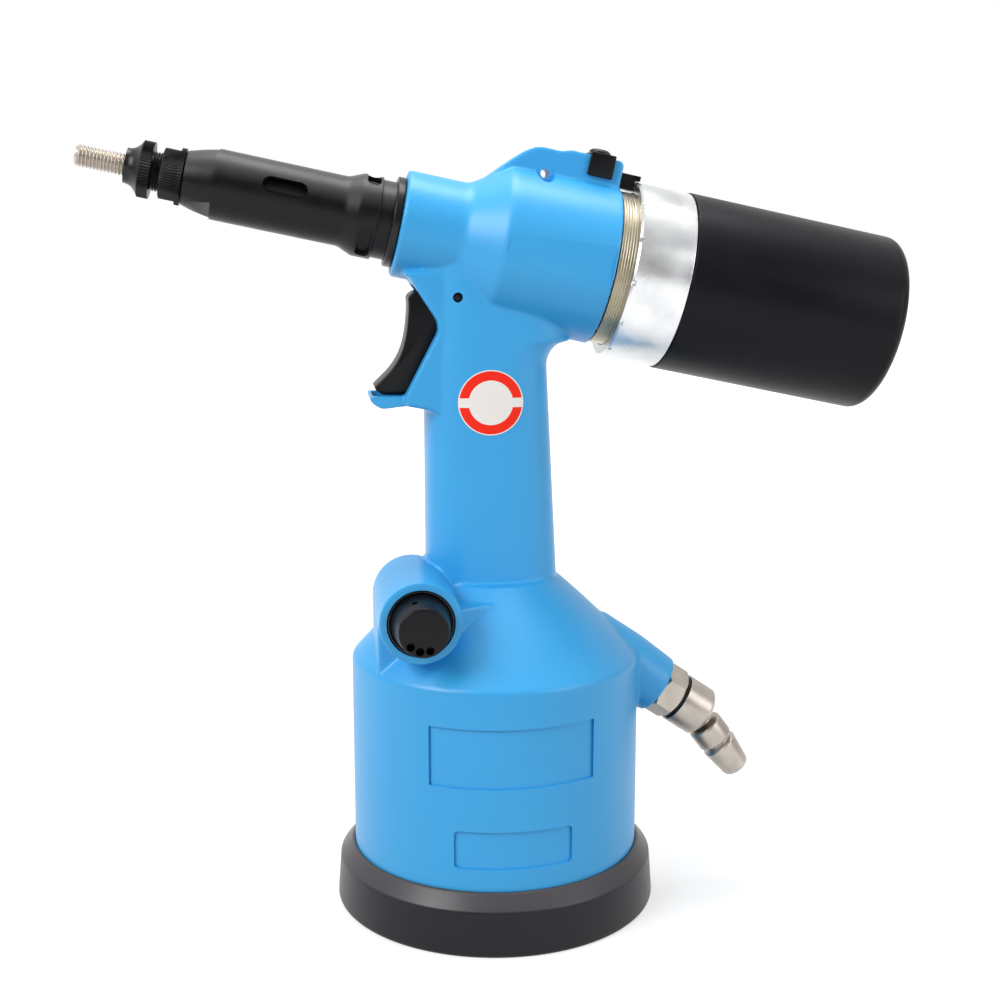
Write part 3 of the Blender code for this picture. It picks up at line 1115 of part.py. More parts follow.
def make_puller():
    head_end = MANDREL_HEAD_S + MANDREL_HEAD_LENGTH
    mandrel_profile = [(MANDREL_TIP_S, 0.0), (MANDREL_TIP_S, MANDREL_R - MANDREL_CHAMFER),
                       (MANDREL_TIP_S + MANDREL_CHAMFER, MANDREL_R), (MANDREL_HEAD_S, MANDREL_R),
                       (MANDREL_HEAD_S, MANDREL_HEAD_R), (head_end, MANDREL_HEAD_R), (head_end, 0.0)]
    mandrel = turned("mandrel", mandrel_profile, SEG_SMALL, BARREL, "nickel")
    cut(mandrel, hexagon("mandrel_socket", (head_end - MANDREL_SOCKET_DEPTH, head_end + 0.01),
                         MANDREL_SOCKET_FLATS, BARREL))
    washer_back = MANDREL_HEAD_S - GAP
    washer_front = washer_back - WASHER_THICK
    tube("thrust_washer", (washer_front, washer_back), MANDREL_HEAD_R, MANDREL_R + GAP, SEG_INNER, BARREL,
         "bronze")
    pocket_r = MANDREL_HEAD_R + GAP
    rear_r = ROD_SPIGOT_R + GAP
    pocket_end = ROD_FRONT_S - ROD_SPIGOT_LENGTH - GAP
    puller = [(PULLER_FRONT_S, MANDREL_R + GAP), (PULLER_FRONT_S, PULLER_R - MANDREL_CHAMFER),
              (PULLER_FRONT_S + MANDREL_CHAMFER, PULLER_R), (ROD_FRONT_S - GAP,
                                                             PULLER_R), (ROD_FRONT_S - GAP, rear_r),
              (pocket_end, rear_r), (pocket_end, pocket_r), (washer_front - GAP,
                                                             pocket_r), (washer_front - GAP,
                                                                         MANDREL_R + GAP)]
    turned("puller_head", puller, SEG_INNER, BARREL, "black_oxide_steel")
    collar_s = head_end + GAP
    shaft_profile = [(collar_s, 0.0), (collar_s, SHAFT_COLLAR_R),
                     (collar_s + SHAFT_COLLAR_LENGTH, SHAFT_COLLAR_R),
                     (collar_s + SHAFT_COLLAR_LENGTH, SHAFT_R), (SHAFT_HEX_S, SHAFT_R), (SHAFT_HEX_S, 0.0)]
    shaft = turned("drive_shaft", shaft_profile, SEG_INNER, BARREL, "bright_steel")
    bit_flats = MANDREL_SOCKET_FLATS - 2 * GAP
    fuse(shaft, hexagon("shaft_bit", (head_end - MANDREL_SOCKET_DEPTH + GAP,
                                      collar_s + SHAFT_COLLAR_LENGTH / 2), bit_flats, BARREL))
    fuse(shaft, hexagon("shaft_hex", (SHAFT_HEX_S - SHAFT_R, SHAFT_END_S), SHAFT_HEX_FLATS, BARREL))


# Rear: stroke adjuster, rubber cover and vane motor
def make_adjuster():
    thread_r = OIL_THREAD_R + GAP
    sleeve = [(ADJUST_FRONT_S, thread_r), (ADJUST_FRONT_S, ADJUST_R - ADJUST_CHAMFER),
              (ADJUST_FRONT_S + ADJUST_CHAMFER, ADJUST_R),
              (ADJUST_STEP_S, ADJUST_R), (ADJUST_STEP_S, SLEEVE_COVERED_R), (ADJUST_REAR_S,
                                                                             SLEEVE_COVERED_R),
              (ADJUST_REAR_S, ADJUST_BORE_R), (ADJUST_THREAD_END_S,
                                               ADJUST_BORE_R), (ADJUST_THREAD_END_S, thread_r)]
    adjust_sleeve = turned("adjust_sleeve", sleeve, SEG_MID, BARREL, "aluminium")
    cut(adjust_sleeve, ring_of_blocks("adjust_notches", ADJUST_NOTCHES,
                                      (2 * ADJUST_NOTCH_DEPTH, ADJUST_NOTCH_WIDTH, 2 * ADJUST_NOTCH_LENGTH),
                                      ADJUST_R, ADJUST_FRONT_S, BARREL))
    front = ADJUST_STEP_S + GAP
    inner_r = COVER_R - COVER_WALL
    end = COVER_REAR_S - COVER_EDGE_ROUND
    edge = [(s, r) for r, s in arc((COVER_R - COVER_EDGE_ROUND, end), COVER_EDGE_ROUND, 0, 90,
                                   COVER_ROUND_STEPS)]
    inner_end = ADJUST_REAR_S + GAP
    cover = [(front, inner_r), (front, COVER_R)] + edge
    plug_r = ADJUST_BORE_R - COVER_END_WALL
    plug_s = COVER_REAR_S - COVER_END_WALL
    cover += [(COVER_REAR_S, 0.0), (plug_s, 0.0), (plug_s, plug_r), (inner_end, plug_r), (inner_end, inner_r)]
    turned("rear_cover", cover, SEG_MID, BARREL, "black_rubber")


def make_motor():
    case_end = GEAR_CASE_S + GEAR_CASE_LENGTH
    hub_r = SPINDLE_R + GAP
    case_bore = CARRIER_R + 3 * GAP
    case = [(GEAR_CASE_S, hub_r), (GEAR_CASE_S, GEAR_CASE_R), (case_end, GEAR_CASE_R),
            (case_end, case_bore),
            (GEAR_CASE_S + GEAR_CASE_WALL, case_bore), (GEAR_CASE_S + GEAR_CASE_WALL, hub_r)]
    turned("gear_case", case, SEG_INNER, BARREL, "bright_steel")
    carrier_end = CARRIER_S + CARRIER_THICK
    spindle_profile = [(SPINDLE_FRONT_S, 0.0), (SPINDLE_FRONT_S, SPINDLE_R), (CARRIER_S, SPINDLE_R),
                       (CARRIER_S, CARRIER_R),
                       (carrier_end, CARRIER_R), (carrier_end,
                                                  SPINDLE_R), (SPINDLE_SOCKET_END_S + 2 * GAP, SPINDLE_R),
                       (SPINDLE_SOCKET_END_S + 2 * GAP, 0.0)]
    spindle = turned("output_spindle", spindle_profile, SEG_INNER, BARREL, "bright_steel")
    cut(spindle, hexagon("spindle_socket", (SPINDLE_FRONT_S - 0.01, SPINDLE_SOCKET_END_S - GAP),
                         SHAFT_HEX_FLATS + 2 * GAP, BARREL))
    bearing_hole_r = BEARING_R + GAP
    tube("front_plate", (FRONT_PLATE_S, FRONT_PLATE_S + PLATE_THICK), GEAR_CASE_R, bearing_hole_r,
         SEG_INNER, BARREL, "bright_steel")
    tube("front_bearing", (FRONT_PLATE_S, FRONT_PLATE_S + PLATE_THICK), BEARING_R, ROTOR_SHAFT_R + GAP,
         SEG_INNER, BARREL,
         "bright_steel")
    liner = rod("motor_liner", (LINER_S, LINER_S + LINER_LENGTH), GEAR_CASE_R, SEG_INNER, BARREL,
                "bright_steel")
    cut(liner, rod("liner_bore", (LINER_S - 0.01, LINER_S + LINER_LENGTH + 0.01), LINER_BORE_R, SEG_INNER,
                   LINER_AXIS))
    shaft_front = SPINDLE_SOCKET_END_S + 4 * GAP
    shaft_rear = REAR_PLATE_S + PLATE_THICK + ROTOR_TAIL / 2
    rotor_end = ROTOR_S + ROTOR_LENGTH
    rotor_profile = [(shaft_front, 0.0), (shaft_front, ROTOR_SHAFT_R), (ROTOR_S, ROTOR_SHAFT_R),
                     (ROTOR_S, ROTOR_R),
                     (rotor_end, ROTOR_R), (rotor_end, ROTOR_SHAFT_R), (shaft_rear,
                                                                        ROTOR_SHAFT_R), (shaft_rear, 0.0)]
    rotor = turned("rotor", rotor_profile, SEG_INNER, BARREL, "bright_steel")
    slot_middle = (ROTOR_S + rotor_end) / 2
    slot_size = (2 * VANE_DEPTH, VANE_THICK + 2 * GAP, 2 * ROTOR_LENGTH)
    cut(rotor, ring_of_blocks("vane_slots", VANES, slot_size, ROTOR_R, slot_middle, BARREL))
    vane_low = ROTOR_R - VANE_DEPTH + GAP
    for i in range(VANES):
        vane = block("vane_%d" % (i + 1), (vane_low, -VANE_THICK / 2, ROTOR_S),
                     (ROTOR_R, VANE_THICK / 2, rotor_end), BARREL,
                     "bronze")
        vane.rotation_euler = (0.0, 0.0, 2 * math.pi * i / VANES)
    tube("rear_plate", (REAR_PLATE_S, REAR_PLATE_S + PLATE_THICK), GEAR_CASE_R, bearing_hole_r, SEG_INNER,
         BARREL, "bright_steel")
    tube("rear_bearing", (REAR_PLATE_S, REAR_PLATE_S + PLATE_THICK), BEARING_R, ROTOR_SHAFT_R + GAP,
         SEG_INNER, BARREL,
         "bright_steel")
    tube("motor_retainer", (REAR_PLATE_S + PLATE_THICK + GAP, RETAINER_S), GEAR_CASE_R, bearing_hole_r,
         SEG_INNER, BARREL,
         "aluminium")


# Latch on the fin
def make_latch():
    bolt = barrel_block("latch_bolt", BOLT_S, BOLT_H, BOLT_HALF_WIDTH, "black_plastic")
    tip_end = BOLT_S[1] + BOLT_TIP_LENGTH
    fuse(bolt, barrel_block("bolt_tip", (SCREW_S, tip_end), (ADJUST_R + GAP, BOLT_H[1]), BOLT_HALF_WIDTH))
    screw_hole = rod("bolt_hole", (BOLT_H[1] - SCREW_DEPTH - GAP, FIN_TOP_H), SCREW_R + GAP, SEG_PIN,
                     BARREL)
    screw_hole.location = (0.0, 0.0, SCREW_S)
    screw_hole.rotation_euler = (0.0, -math.pi / 2, 0.0)
    cut(bolt, screw_hole)
    inner = FIN_HALF_WIDTH + GAP
    clip = barrel_block("latch_clip", CLIP_S, (CLIP_BOTTOM_H, CLIP_TOP_H), inner + CLIP_SIDE,
                        "black_plastic")
    cut(clip, barrel_block("clip_gap", (CLIP_S[0] - 0.01, CLIP_S[1] + 0.01),
                           (CLIP_BOTTOM_H - 0.01, FIN_TOP_H + GAP), inner))
    clip_hole = rod("clip_hole", (FIN_TOP_H - 0.01, CLIP_TOP_H + 0.01), SCREW_R + GAP, SEG_PIN, BARREL)
    clip_hole.location = (0.0, 0.0, SCREW_S)
    clip_hole.rotation_euler = (0.0, -math.pi / 2, 0.0)
    cut(clip, clip_hole)
    head = CLIP_TOP_H + GAP
    screw_profile = [(BOLT_H[1] - SCREW_DEPTH, 0.0), (BOLT_H[1] - SCREW_DEPTH, SCREW_R), (head, SCREW_R),
                     (head, SCREW_HEAD_R),
                     (head + SCREW_HEAD_HEIGHT / 2, SCREW_HEAD_R), (head + SCREW_HEAD_HEIGHT,
                                                                    SCREW_HEAD_R / 2),
                     (head + SCREW_HEAD_HEIGHT, 0.0)]
    screw = turned("latch_screw", screw_profile, SEG_PIN, BARREL, "black_oxide_steel")
    screw.location = (0.0, 0.0, SCREW_S)
    screw.rotation_euler = (0.0, -math.pi / 2, 0.0)
    spring = coil("latch_spring", (LATCH_CHANNEL_S, BOLT_S[0] - GAP), LATCH_SPRING_R, LATCH_SPRING_WIRE_R,
                  LATCH_SPRING_TURNS,
                  BARREL, "bright_steel")
    spring.location = (-(BOLT_H[0] + BOLT_H[1]) / 2, 0.0, 0.0)


make_housing()
make_base()
make_trigger()
make_valve()
make_inlet()
make_oil_parts()
make_nose()
make_puller()
make_adjuster()
make_motor()
make_latch()
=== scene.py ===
"""Looks of the rivet-nut gun: finely shaped pieces, materials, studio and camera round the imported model."""

import json
import math

import bmesh
import bpy
from mathutils import Matrix, Vector


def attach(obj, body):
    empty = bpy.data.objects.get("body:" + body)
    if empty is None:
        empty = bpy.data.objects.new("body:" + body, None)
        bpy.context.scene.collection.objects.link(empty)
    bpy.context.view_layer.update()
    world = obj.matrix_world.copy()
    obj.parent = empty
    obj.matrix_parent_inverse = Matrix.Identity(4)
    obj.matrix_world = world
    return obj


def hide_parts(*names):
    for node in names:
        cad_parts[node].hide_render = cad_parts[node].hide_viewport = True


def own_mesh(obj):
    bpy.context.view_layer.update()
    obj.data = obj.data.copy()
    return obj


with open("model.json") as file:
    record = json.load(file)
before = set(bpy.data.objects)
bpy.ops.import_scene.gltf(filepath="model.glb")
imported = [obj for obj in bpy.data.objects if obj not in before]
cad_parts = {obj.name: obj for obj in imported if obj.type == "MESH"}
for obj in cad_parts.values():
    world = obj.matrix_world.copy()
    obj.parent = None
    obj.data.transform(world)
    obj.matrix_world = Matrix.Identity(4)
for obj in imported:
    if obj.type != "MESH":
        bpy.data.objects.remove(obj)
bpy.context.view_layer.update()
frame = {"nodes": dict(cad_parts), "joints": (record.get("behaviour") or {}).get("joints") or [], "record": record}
nodes = frame["nodes"]
joints = {joint["name"]: joint for joint in frame["joints"]}
mounts = {mount["name"]: mount for mount in frame["record"]["mounts"]}

# Sizes in metres, most of them repeated from the solids
GAP = 0.0003

# Barrel axis
BARREL_AXIS_Z = 0.2511

# Base shroud and boot
SHROUD_R = 0.0548
SHROUD_WALL = 0.0035
SHROUD_FOOT_Z = 0.0075
SHOULDER_Z = 0.0982
SHOULDER_ROUND = 0.0030
DOME_CROWN_R = 0.0235
DOME_CROWN_Z = 0.1270
BOOT_FOOT_R = 0.0618
BOOT_RIM_R = 0.0605
BOOT_RIM_Z = 0.0170
BOOT_TOP_Z = 0.0225
BOOT_FLOOR = 0.0040
BOOT_EDGE_ROUND = 0.0018
BOOT_LIP = 0.0012
PANEL_DEPTH = 0.0010
PANEL_UPPER_WIDTH = 0.0598
PANEL_UPPER_Z = (0.0608, 0.0830)
PANEL_LOWER_WIDTH = 0.0430
PANEL_LOWER_Z = (0.0306, 0.0449)
PANEL_UPPER_CORNER = 0.0003
PANEL_LOWER_CORNER = 0.0020
PANEL_CUTTER_SHARE = 0.7

# Air cylinder and piston in the base
HEAD_Z = 0.0875
HEAD_THICK = 0.0055
RAM_TUBE_R = 0.0115
RAM_FLANGE_R = 0.0160
RAM_FLANGE_THICK = 0.0030

# Handle
HANDLE_FRONT_X = -0.0264
HANDLE_REAR_FOOT_X = 0.0234
HANDLE_REAR_TOP_X = 0.0188
HANDLE_FOOT_Z = 0.1190
HANDLE_TOP_DROP = 0.0446
HANDLE_TOP_FILLET_Z = BARREL_AXIS_Z - HANDLE_TOP_DROP
HANDLE_HALF_WIDTH = 0.0182
HANDLE_ROUNDNESS = 3.0
FOOT_FILLET = 0.0050
TOP_FILLET = 0.0095

# Barrel shell
BARREL_FRONT_S = -0.0360
BARREL_FRONT_R = 0.0193
BARREL_NECK_S = -0.0135
BARREL_CONE_END_S = 0.0005
BARREL_R = 0.0284
BARREL_REAR_R = 0.0290
BARREL_REAR_S = 0.0406
BARREL_EDGE = 0.0010
BARREL_NECK_ROUND = 0.0020
BARREL_CONE_ROUND = 0.0015

# Trigger and its block
BLOCK_HALF_WIDTH = 0.0149
BLOCK_FRONT_X = -0.0344
BLOCK_BACK_X = -0.0140
BLOCK_FRONT_LIFT = 0.0040
BLOCK_CHIN_LIFT = 0.0025
BLOCK_CHIN_LENGTH = 0.0060
BLOCK_DROP = 0.0619
BLOCK_BOTTOM_Z = BARREL_AXIS_Z - BLOCK_DROP
LEDGE_HALF_WIDTH = 0.0125
LEDGE_TIP_X = -0.0470
LEDGE_DROP = 0.0545
LEDGE_TOP_Z = BARREL_AXIS_Z - LEDGE_DROP
LEDGE_THICK = 0.0046
LEDGE_BOTTOM_Z = LEDGE_TOP_Z - LEDGE_THICK
LEDGE_LIP = 0.0011
LEDGE_TIP_THICK = 0.0016
LEDGE_CHIN_X = (0.0019, 0.0043)
LEDGE_CHIN_LIFT = 0.0012
LEDGE_BELLY_X = -0.0342
LEDGE_BELLY_LIFT = 0.0009
LEDGE_ROOT_X = -0.0200
LEDGE_ROOT_LIFT = 0.0005
TRIGGER_PIN_X = -0.0154
TRIGGER_PIN_DROP = 0.0188
TRIGGER_PIN_Z = BARREL_AXIS_Z - TRIGGER_PIN_DROP
TRIGGER_PIN_R = 0.0015
TRIGGER_EYE_R = 0.0035
TRIGGER_NECK = 0.0060
TRIGGER_HALF_WIDTH = 0.0080
TRIGGER_BACK_X = -0.0195
TRIGGER_TAIL_X = -0.0452
TRIGGER_FRONT_X = (-0.0151, -0.0172, -0.0170, -0.0177, -0.0194, -0.0231)
TRIGGER_FRONT_H = (0.0017, 0.0, -0.0047, -0.0127, -0.0198, -0.0262)
TRIGGER_TOE_X = (0.0, 0.0006, 0.0030)
TRIGGER_TOE_H = (0.0027, 0.0013, 0.0)
TRIGGER_HEEL_X = -0.0146
TRIGGER_HEEL_H = 0.0006
TRIGGER_BACK_H = 0.0060
TRIGGER_ROUNDS = (0.001, 0.001, 0.003, 0.005, 0.004, 0.004, 0.0006, 0.0006, 0.0006, 0.002, 0.002, 0.001)
TRIGGER_EYE_ANGLES = (-60, 90)
TRIGGER_EYE_STEPS = 12
TRIGGER_BEVEL = 0.0007
TRIGGER_BEVEL_ANGLE = 50.0
MOUTH_FRONT_X = -0.0188
MOUTH_X = (-0.0073, -0.0067, -0.0073, -0.0132, -0.0176, -0.0446)
MOUTH_H = (-0.0135, -0.0116, -0.0084, 0.0008, 0.0077, 0.0077)
TRIGGER_TAIL_DROP = 0.0354
TRIGGER_TAIL_Z = TRIGGER_PIN_Z - TRIGGER_TAIL_DROP
TRIGGER_POCKET_HALF_WIDTH = 0.0051
TRIGGER_WALL = 0.0070
TRIGGER_SWING = math.radians(6.0)

# Pilot valve behind the trigger
PILOT_DROP = 0.0243
PILOT_Z = TRIGGER_PIN_Z - PILOT_DROP
PILOT_BUSH_R = 0.0045
PILOT_BUSH_FRONT_X = -0.0235

# Main valve in the boss
BOSS_X = -0.0320
BOSS_Z = 0.1200
BOSS_R = 0.0148
BOSS_RIM_Y = -0.0450
BOSS_BACK_Y = 0.0088
BOSS_BACK_ROUND = 0.0080
BOSS_BORE_R = 0.0122
BOSS_BORE_END_Y = 0.0060
BOSS_WEB_BACK_X = 0.0
BOSS_WEB_Y = (-0.0285, 0.0060)
BOSS_WEB_Z = (0.0940, 0.1222)
CAP_SHANK_LENGTH = 0.0155
CAP_BASE_R = 0.0107
CAP_FACE_R = 0.0083
CAP_PROUD = 0.0125
CAP_EDGE = 0.0010
CAP_WALL = 0.0025
CAP_SEAT = 0.0025
CAP_HOLE_R = 0.0015
CAP_HOLE_PITCH_R = 0.0066
CAP_HOLE_ANGLES = (225, 257, 288)
CAP_SIDE_HOLE_R = 0.0012
CAP_SIDE_HOLE_TURN = math.radians(16.0)

# Air inlet, swivel and nipple
INLET_X = 0.0640
INLET_Z = 0.0803
ARM_LENGTH = 0.0340
ARM_R = 0.0129
ARM_FACE_R = 0.0116
ARM_TAPER = 0.0160
ARM_ROUND = 0.0030
INLET_SHANK_R = 0.0062
INLET_SHANK_LENGTH = 0.0070
INLET_BORE_R = 0.0032
HEX_FLATS = 0.0184
HEX_LENGTH = 0.0087
HEX_CHAMFER = 0.0012
INLET_SEAL_THICK = 0.0006
SWIVEL_R = 0.0100
SWIVEL_LENGTH = 0.0130
SWIVEL_CHAMFER = 0.0018
SWIVEL_BACK_ROUND = 0.0002
BALL_R = 0.0062
BALL_CENTRE = 0.0165
BALL_BACK = 0.0035
BALL_STEPS = 20
NIPPLE_BORE_R = 0.0022
NIPPLE_NECK_R = 0.0038
NIPPLE_COLLAR_S = (0.0101, 0.0189)
NIPPLE_COLLAR_R = 0.0071
NIPPLE_GROOVE_R = 0.0052
NIPPLE_HEAD_S = 0.0206
NIPPLE_TIP_S = 0.0333
NIPPLE_TIP_R = 0.0056
NIPPLE_EDGE = 0.0009

# Oil cylinder and draw piston in the barrel
OIL_NECK_R = 0.0164
OIL_BODY_R = 0.0251
OIL_BODY_S = 0.0020
OIL_NECK_END_S = -0.0080
OIL_THREAD_R = 0.0282
OIL_REAR_S = 0.0600
OIL_BORE_R = 0.0203
OIL_BORE_S = -0.0040
OIL_SOCKET_END_S = -0.0160
GLAND_THICK = 0.0037
ROD_R = 0.0092

# Nose
SLEEVE_FRONT_S = -0.1134
SLEEVE_FRONT_R = 0.0095
SLEEVE_CONE_END_S = -0.1026
SLEEVE_R = 0.0126
SLEEVE_TAPER_S = (-0.0564, -0.0510)
COLLAR_R = 0.0149
COLLAR_END_S = -0.0441
COLLAR_ROUND = 0.0008
SHANK_R = 0.0141
SLEEVE_LIP_S = -0.1040
LOCK_RING_R = 0.0163
LOCK_RING_THICK = 0.0028
FLAT_DISTANCE = 0.0100
FLAT_ANGLE = math.radians(-70.0)
WINDOW_S = -0.0780
WINDOW_LENGTH = 0.0160
WINDOW_WIDTH = 0.0060
WINDOW_ANGLE = math.radians(18.0)
SPANNER_SLOT_LENGTH = 0.0050
SPANNER_SLOT_WIDTH = 0.0144
SPANNER_SLOT_DEPTH = 0.0034
SPANNER_SLOT_ANGLES = (-43.0, 77.0, 197.0)
NOSE_THREAD_R = 0.0070
NOSE_THREAD_END_S = -0.1065
NOSE_FRONT_S = -0.1339
NOSE_FRONT_R = 0.0062
NOSE_FLANGE_S = (-0.1285, -0.1247)
NOSE_FLANGE_R = 0.0100
NOSE_FLARE_POWER = 2.5
NOSE_FLARE_STEPS = 16
NUT_FRONT_S = -0.1213
NUT_FRONT_R = 0.0090
NUT_RIM_S = -0.1154
NUT_RIM_R = 0.0101
MANDREL_R = 0.0039
MANDREL_TIP_S = -0.1513
MANDREL_CHAMFER = 0.0009
MANDREL_HEAD_S = -0.0827
MANDREL_HEAD_R = 0.0063
MANDREL_HEAD_LENGTH = 0.0080

# Motor unit and stroke adjuster in the rear
ADJUST_FRONT_S = 0.0463
ADJUST_R = 0.0325
ADJUST_STEP_S = 0.0671
ADJUST_CHAMFER = 0.0007
ADJUST_REAR_S = 0.1440
ADJUST_THREAD_END_S = 0.0622
ADJUST_BORE_R = 0.0277
ADJUST_NOTCHES = 13
ADJUST_NOTCH_WIDTH = 0.0018
ADJUST_NOTCH_DEPTH = 0.0012
ADJUST_NOTCH_LENGTH = 0.0014
ADJUST_NOTCH_STEP = 0.0001
ADJUST_NOTCH_FACETS = 32
COVER_R = 0.0332
COVER_WALL = 0.0021
COVER_REAR_S = 0.1500
COVER_EDGE_ROUND = 0.0045
COVER_END_WALL = 0.0030

# Fin and its latch
FIN_HALF_WIDTH = 0.0050
FIN_REAR_S = 0.0404
FIN_TOP_H = 0.0384
FIN_STEP_S = 0.0200
FIN_FOOT_S = -0.0110
FIN_FOOT_H = 0.0150
FIN_BROW_S = (-0.0097, 0.0, 0.0041, 0.0070, 0.0098)
FIN_BROW_H = (0.0212, 0.0312, 0.0349, 0.0367, 0.0373)
FIN_RAMP = 0.0030
FIN_CORNER = 0.0012
FIN_HOLE_S = 0.0123
FIN_HOLE_H = 0.0282
FIN_HOLE_R = 0.0017
FIN_FACE_R = 0.0034
FIN_FACE_DEPTH = 0.0100
BOLT_HALF_WIDTH = 0.0030
BOLT_H = (0.0290, 0.0346)
BOLT_S = (0.0270, 0.0460)
BOLT_TIP_LENGTH = 0.0018
BOLT_BEVEL = 0.0005
LATCH_STROKE = 0.0050
LATCH_SPRING_LENGTH = 0.0100
CLIP_S = (0.0273, 0.0367)
CLIP_BOTTOM_H = 0.0310
CLIP_SIDE = 0.0013
CLIP_TOP = 0.0008
CLIP_BEVEL = 0.0004
SCREW_S = 0.0315
SCREW_R = 0.0015
SCREW_DEPTH = 0.0030
SCREW_HEAD_R = 0.0040
SCREW_HEAD_HEIGHT = 0.0014
SCREW_DOME_SHARE = 0.7

# Finish of the fine pieces
FACETS = 96
BASE_FACETS = 192
REAR_FACETS = 128
MANDREL_FACETS = 64
SCREW_FACETS = 48
HOLE_FACETS = 32
CAP_HOLE_FACETS = 24
HEX_SIDES = 6
ARC_STEPS = 16
ON_AXIS = 1e-7
TOLERANCE = 1e-6
CUT_PAST = 0.01
VOXEL = 0.00065
SMOOTH_ROUNDS = 4
SMOOTH_SHARE = 0.5
SHARP_ANGLE = math.radians(32.0)
CORNER_STEPS = 5
CORNER_SHARE = 0.48
BEVEL_SEGMENTS = 3
BEVEL_ANGLE = 30.0
CRISP_ROUND = 0.0003
FINE_ROUND = 0.0004
EDGE_ROUND = 0.0005
SMALL_ROUND = 0.0006
SOFT_ROUND = 0.0012
FILLET_STEPS = 12
SIDES = (("near", 0.0), ("far", math.pi))
MANDREL_PITCH = 0.00125
MANDREL_THREAD_DEPTH = 0.00065
NOSE_PITCH = 0.0010
NOSE_THREAD_DEPTH = 0.0006
OIL_PITCH = 0.0010
OIL_THREAD_DEPTH = 0.0006
THREAD_STEPS = 24
KNURLS = 60
KNURL_DEPTH = 0.0004
KNURL_FACETS = 4
STICKER_X = -0.0038
STICKER_Z = 0.1945
STICKER_R = 0.0119
STICKER_BORDER = 0.0004
STICKER_CORE_R = 0.0081
STICKER_BAND = 0.0017
STICKER_LIFT = 0.00012
STICKER_RINGS = 12
STICKER_RAY_Y = -0.2
COVER_INSET = 0.0002
DOME_FLANK_BULGE = 0.12
DOME_FLANK_STEPS = 24
DOME_EDGE_ANGLE = 50
DOME_EDGE_STEPS = 6
WEB_WEDGE_X = -0.0220
WEB_WEDGE_Y = (-0.0369, -0.0276)
LABEL_FLAT_S = (0.0012, 0.0398)
LABEL_FLAT_H = (-0.0060, 0.0075)
LABEL_FLAT_DISTANCE = 0.0281

# Materials: spans are of noise, or of how far a face looks up
CLOUD_DETAIL = 5.0
CLOUD_SPAN = (0.35, 0.70)
GRAIN_DETAIL = 2.0
GLOSS_SPAN = (0.3, 0.7)
# The painted top sheen grows over this span of how far a face looks up
TOP_SHEEN_SPAN = (0.2, 0.7)
LABEL_WHITE = (0.85, 0.82, 0.78)
# Places of the colour sockets of a mix node, which have the same names as its other sockets
MIX_A = 6
MIX_B = 7
MIX_RESULT = 2

# Studio: strengths are plain, one being white
WHITE = (1.0, 1.0, 1.0, 1.0)
WORLD_LIGHT = 0.48
BRIGHT_SIDE = (0.0, 0.55, 0.83)
ROOM_SPAN = (-0.25, 0.65)
ROOM_DIM = 0.12
FLOOR_SIZE = 6.0
FLOOR_GREY = 0.45
FLOOR_GLOW = 0.62
FLOOR_GLOW_REACH = (0.15, 0.80)

# Lamps: name, place, aim, width and height, and watts
LAMPS = (
    ("key", (-1.25, -0.75, 1.2), (0.0, 0.0, 0.15), (0.9, 0.9), 22.0),
    ("fill", (1.1, -0.9, 0.6), (0.0, 0.0, 0.15), (0.8, 0.8), 6.0),
    ("top", (0.1, 0.2, 1.5), (0.0, 0.0, 0.2), (0.9, 0.6), 13.0),
)

# Camera
CAMERA_AT = (-0.071992, -0.545724, 0.256501)
CAMERA_AIM = (0.001965, 0.0, 0.15532)
CAMERA_LENS = 53.17
CAMERA_SENSOR = 36.0

# Sizes that follow from the ones above
BOOT_BORE_R = SHROUD_R + GAP
CAVITY_R = SHROUD_R - SHROUD_WALL
HEAD_TOP_Z = HEAD_Z + HEAD_THICK
RAM_SHAFT_HOLE_R = RAM_TUBE_R + GAP
NECK_BORE_R = OIL_NECK_R + GAP
OIL_SEAT_S = BARREL_FRONT_S + BARREL_EDGE * 3
SHANK_END_S = OIL_SOCKET_END_S - GLAND_THICK - 2 * GAP
SLEEVE_BORE_R = ROD_R + 2 * GAP
SLEEVE_COVERED_R = COVER_R - COVER_WALL - GAP
CLIP_TOP_H = FIN_TOP_H + GAP + CLIP_TOP
LATCH_CHANNEL_S = BOLT_S[0] - LATCH_SPRING_LENGTH


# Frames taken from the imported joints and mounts
def axis_frame(origin, direction):
    """A frame whose Z runs along a direction in the XZ plane and whose Y is the world's."""
    z = Vector(direction).normalized()
    y = Vector((0.0, 1.0, 0.0))
    matrix = Matrix((y.cross(z), y, z)).transposed().to_4x4()
    matrix.translation = Vector(origin)
    return matrix


def barrel_frame():
    """The barrel's axis, with its origin over the middle of the base."""
    direction = Vector(joints["adjust_turn"]["axis"]).normalized()
    point = Vector(joints["adjust_turn"]["pos_m"])
    return axis_frame(point - direction * (point.x / direction.x), direction)


BASE = Matrix.Identity(4)
BARREL = barrel_frame()
PIN = Matrix.Translation(Vector(joints["trigger_pull"]["pos_m"])) @ Matrix.Rotation(math.pi / 2, 4, 'X')
VALVE = Matrix.Translation((BOSS_X, 0.0, BOSS_Z)) @ Matrix.Rotation(math.pi / 2, 4, 'X')
INLET = axis_frame((INLET_X, 0.0, INLET_Z), joints["swivel_turn"]["axis"])
NIPPLE = axis_frame(joints["nipple_tilt"]["pos_m"], mounts["air_plug"]["axis"])
PILOT = axis_frame((0.0, 0.0, PILOT_Z), (1.0, 0.0, 0.0))


# Modelling helpers
def arc(centre, radius, start, end, steps):
    """Points along an arc; angles in degrees."""
    points = []
    for i in range(steps + 1):
        angle = math.radians(start + (end - start) * i / max(steps, 1))
        points.append((centre[0] + radius * math.cos(angle), centre[1] + radius * math.sin(angle)))
    return points


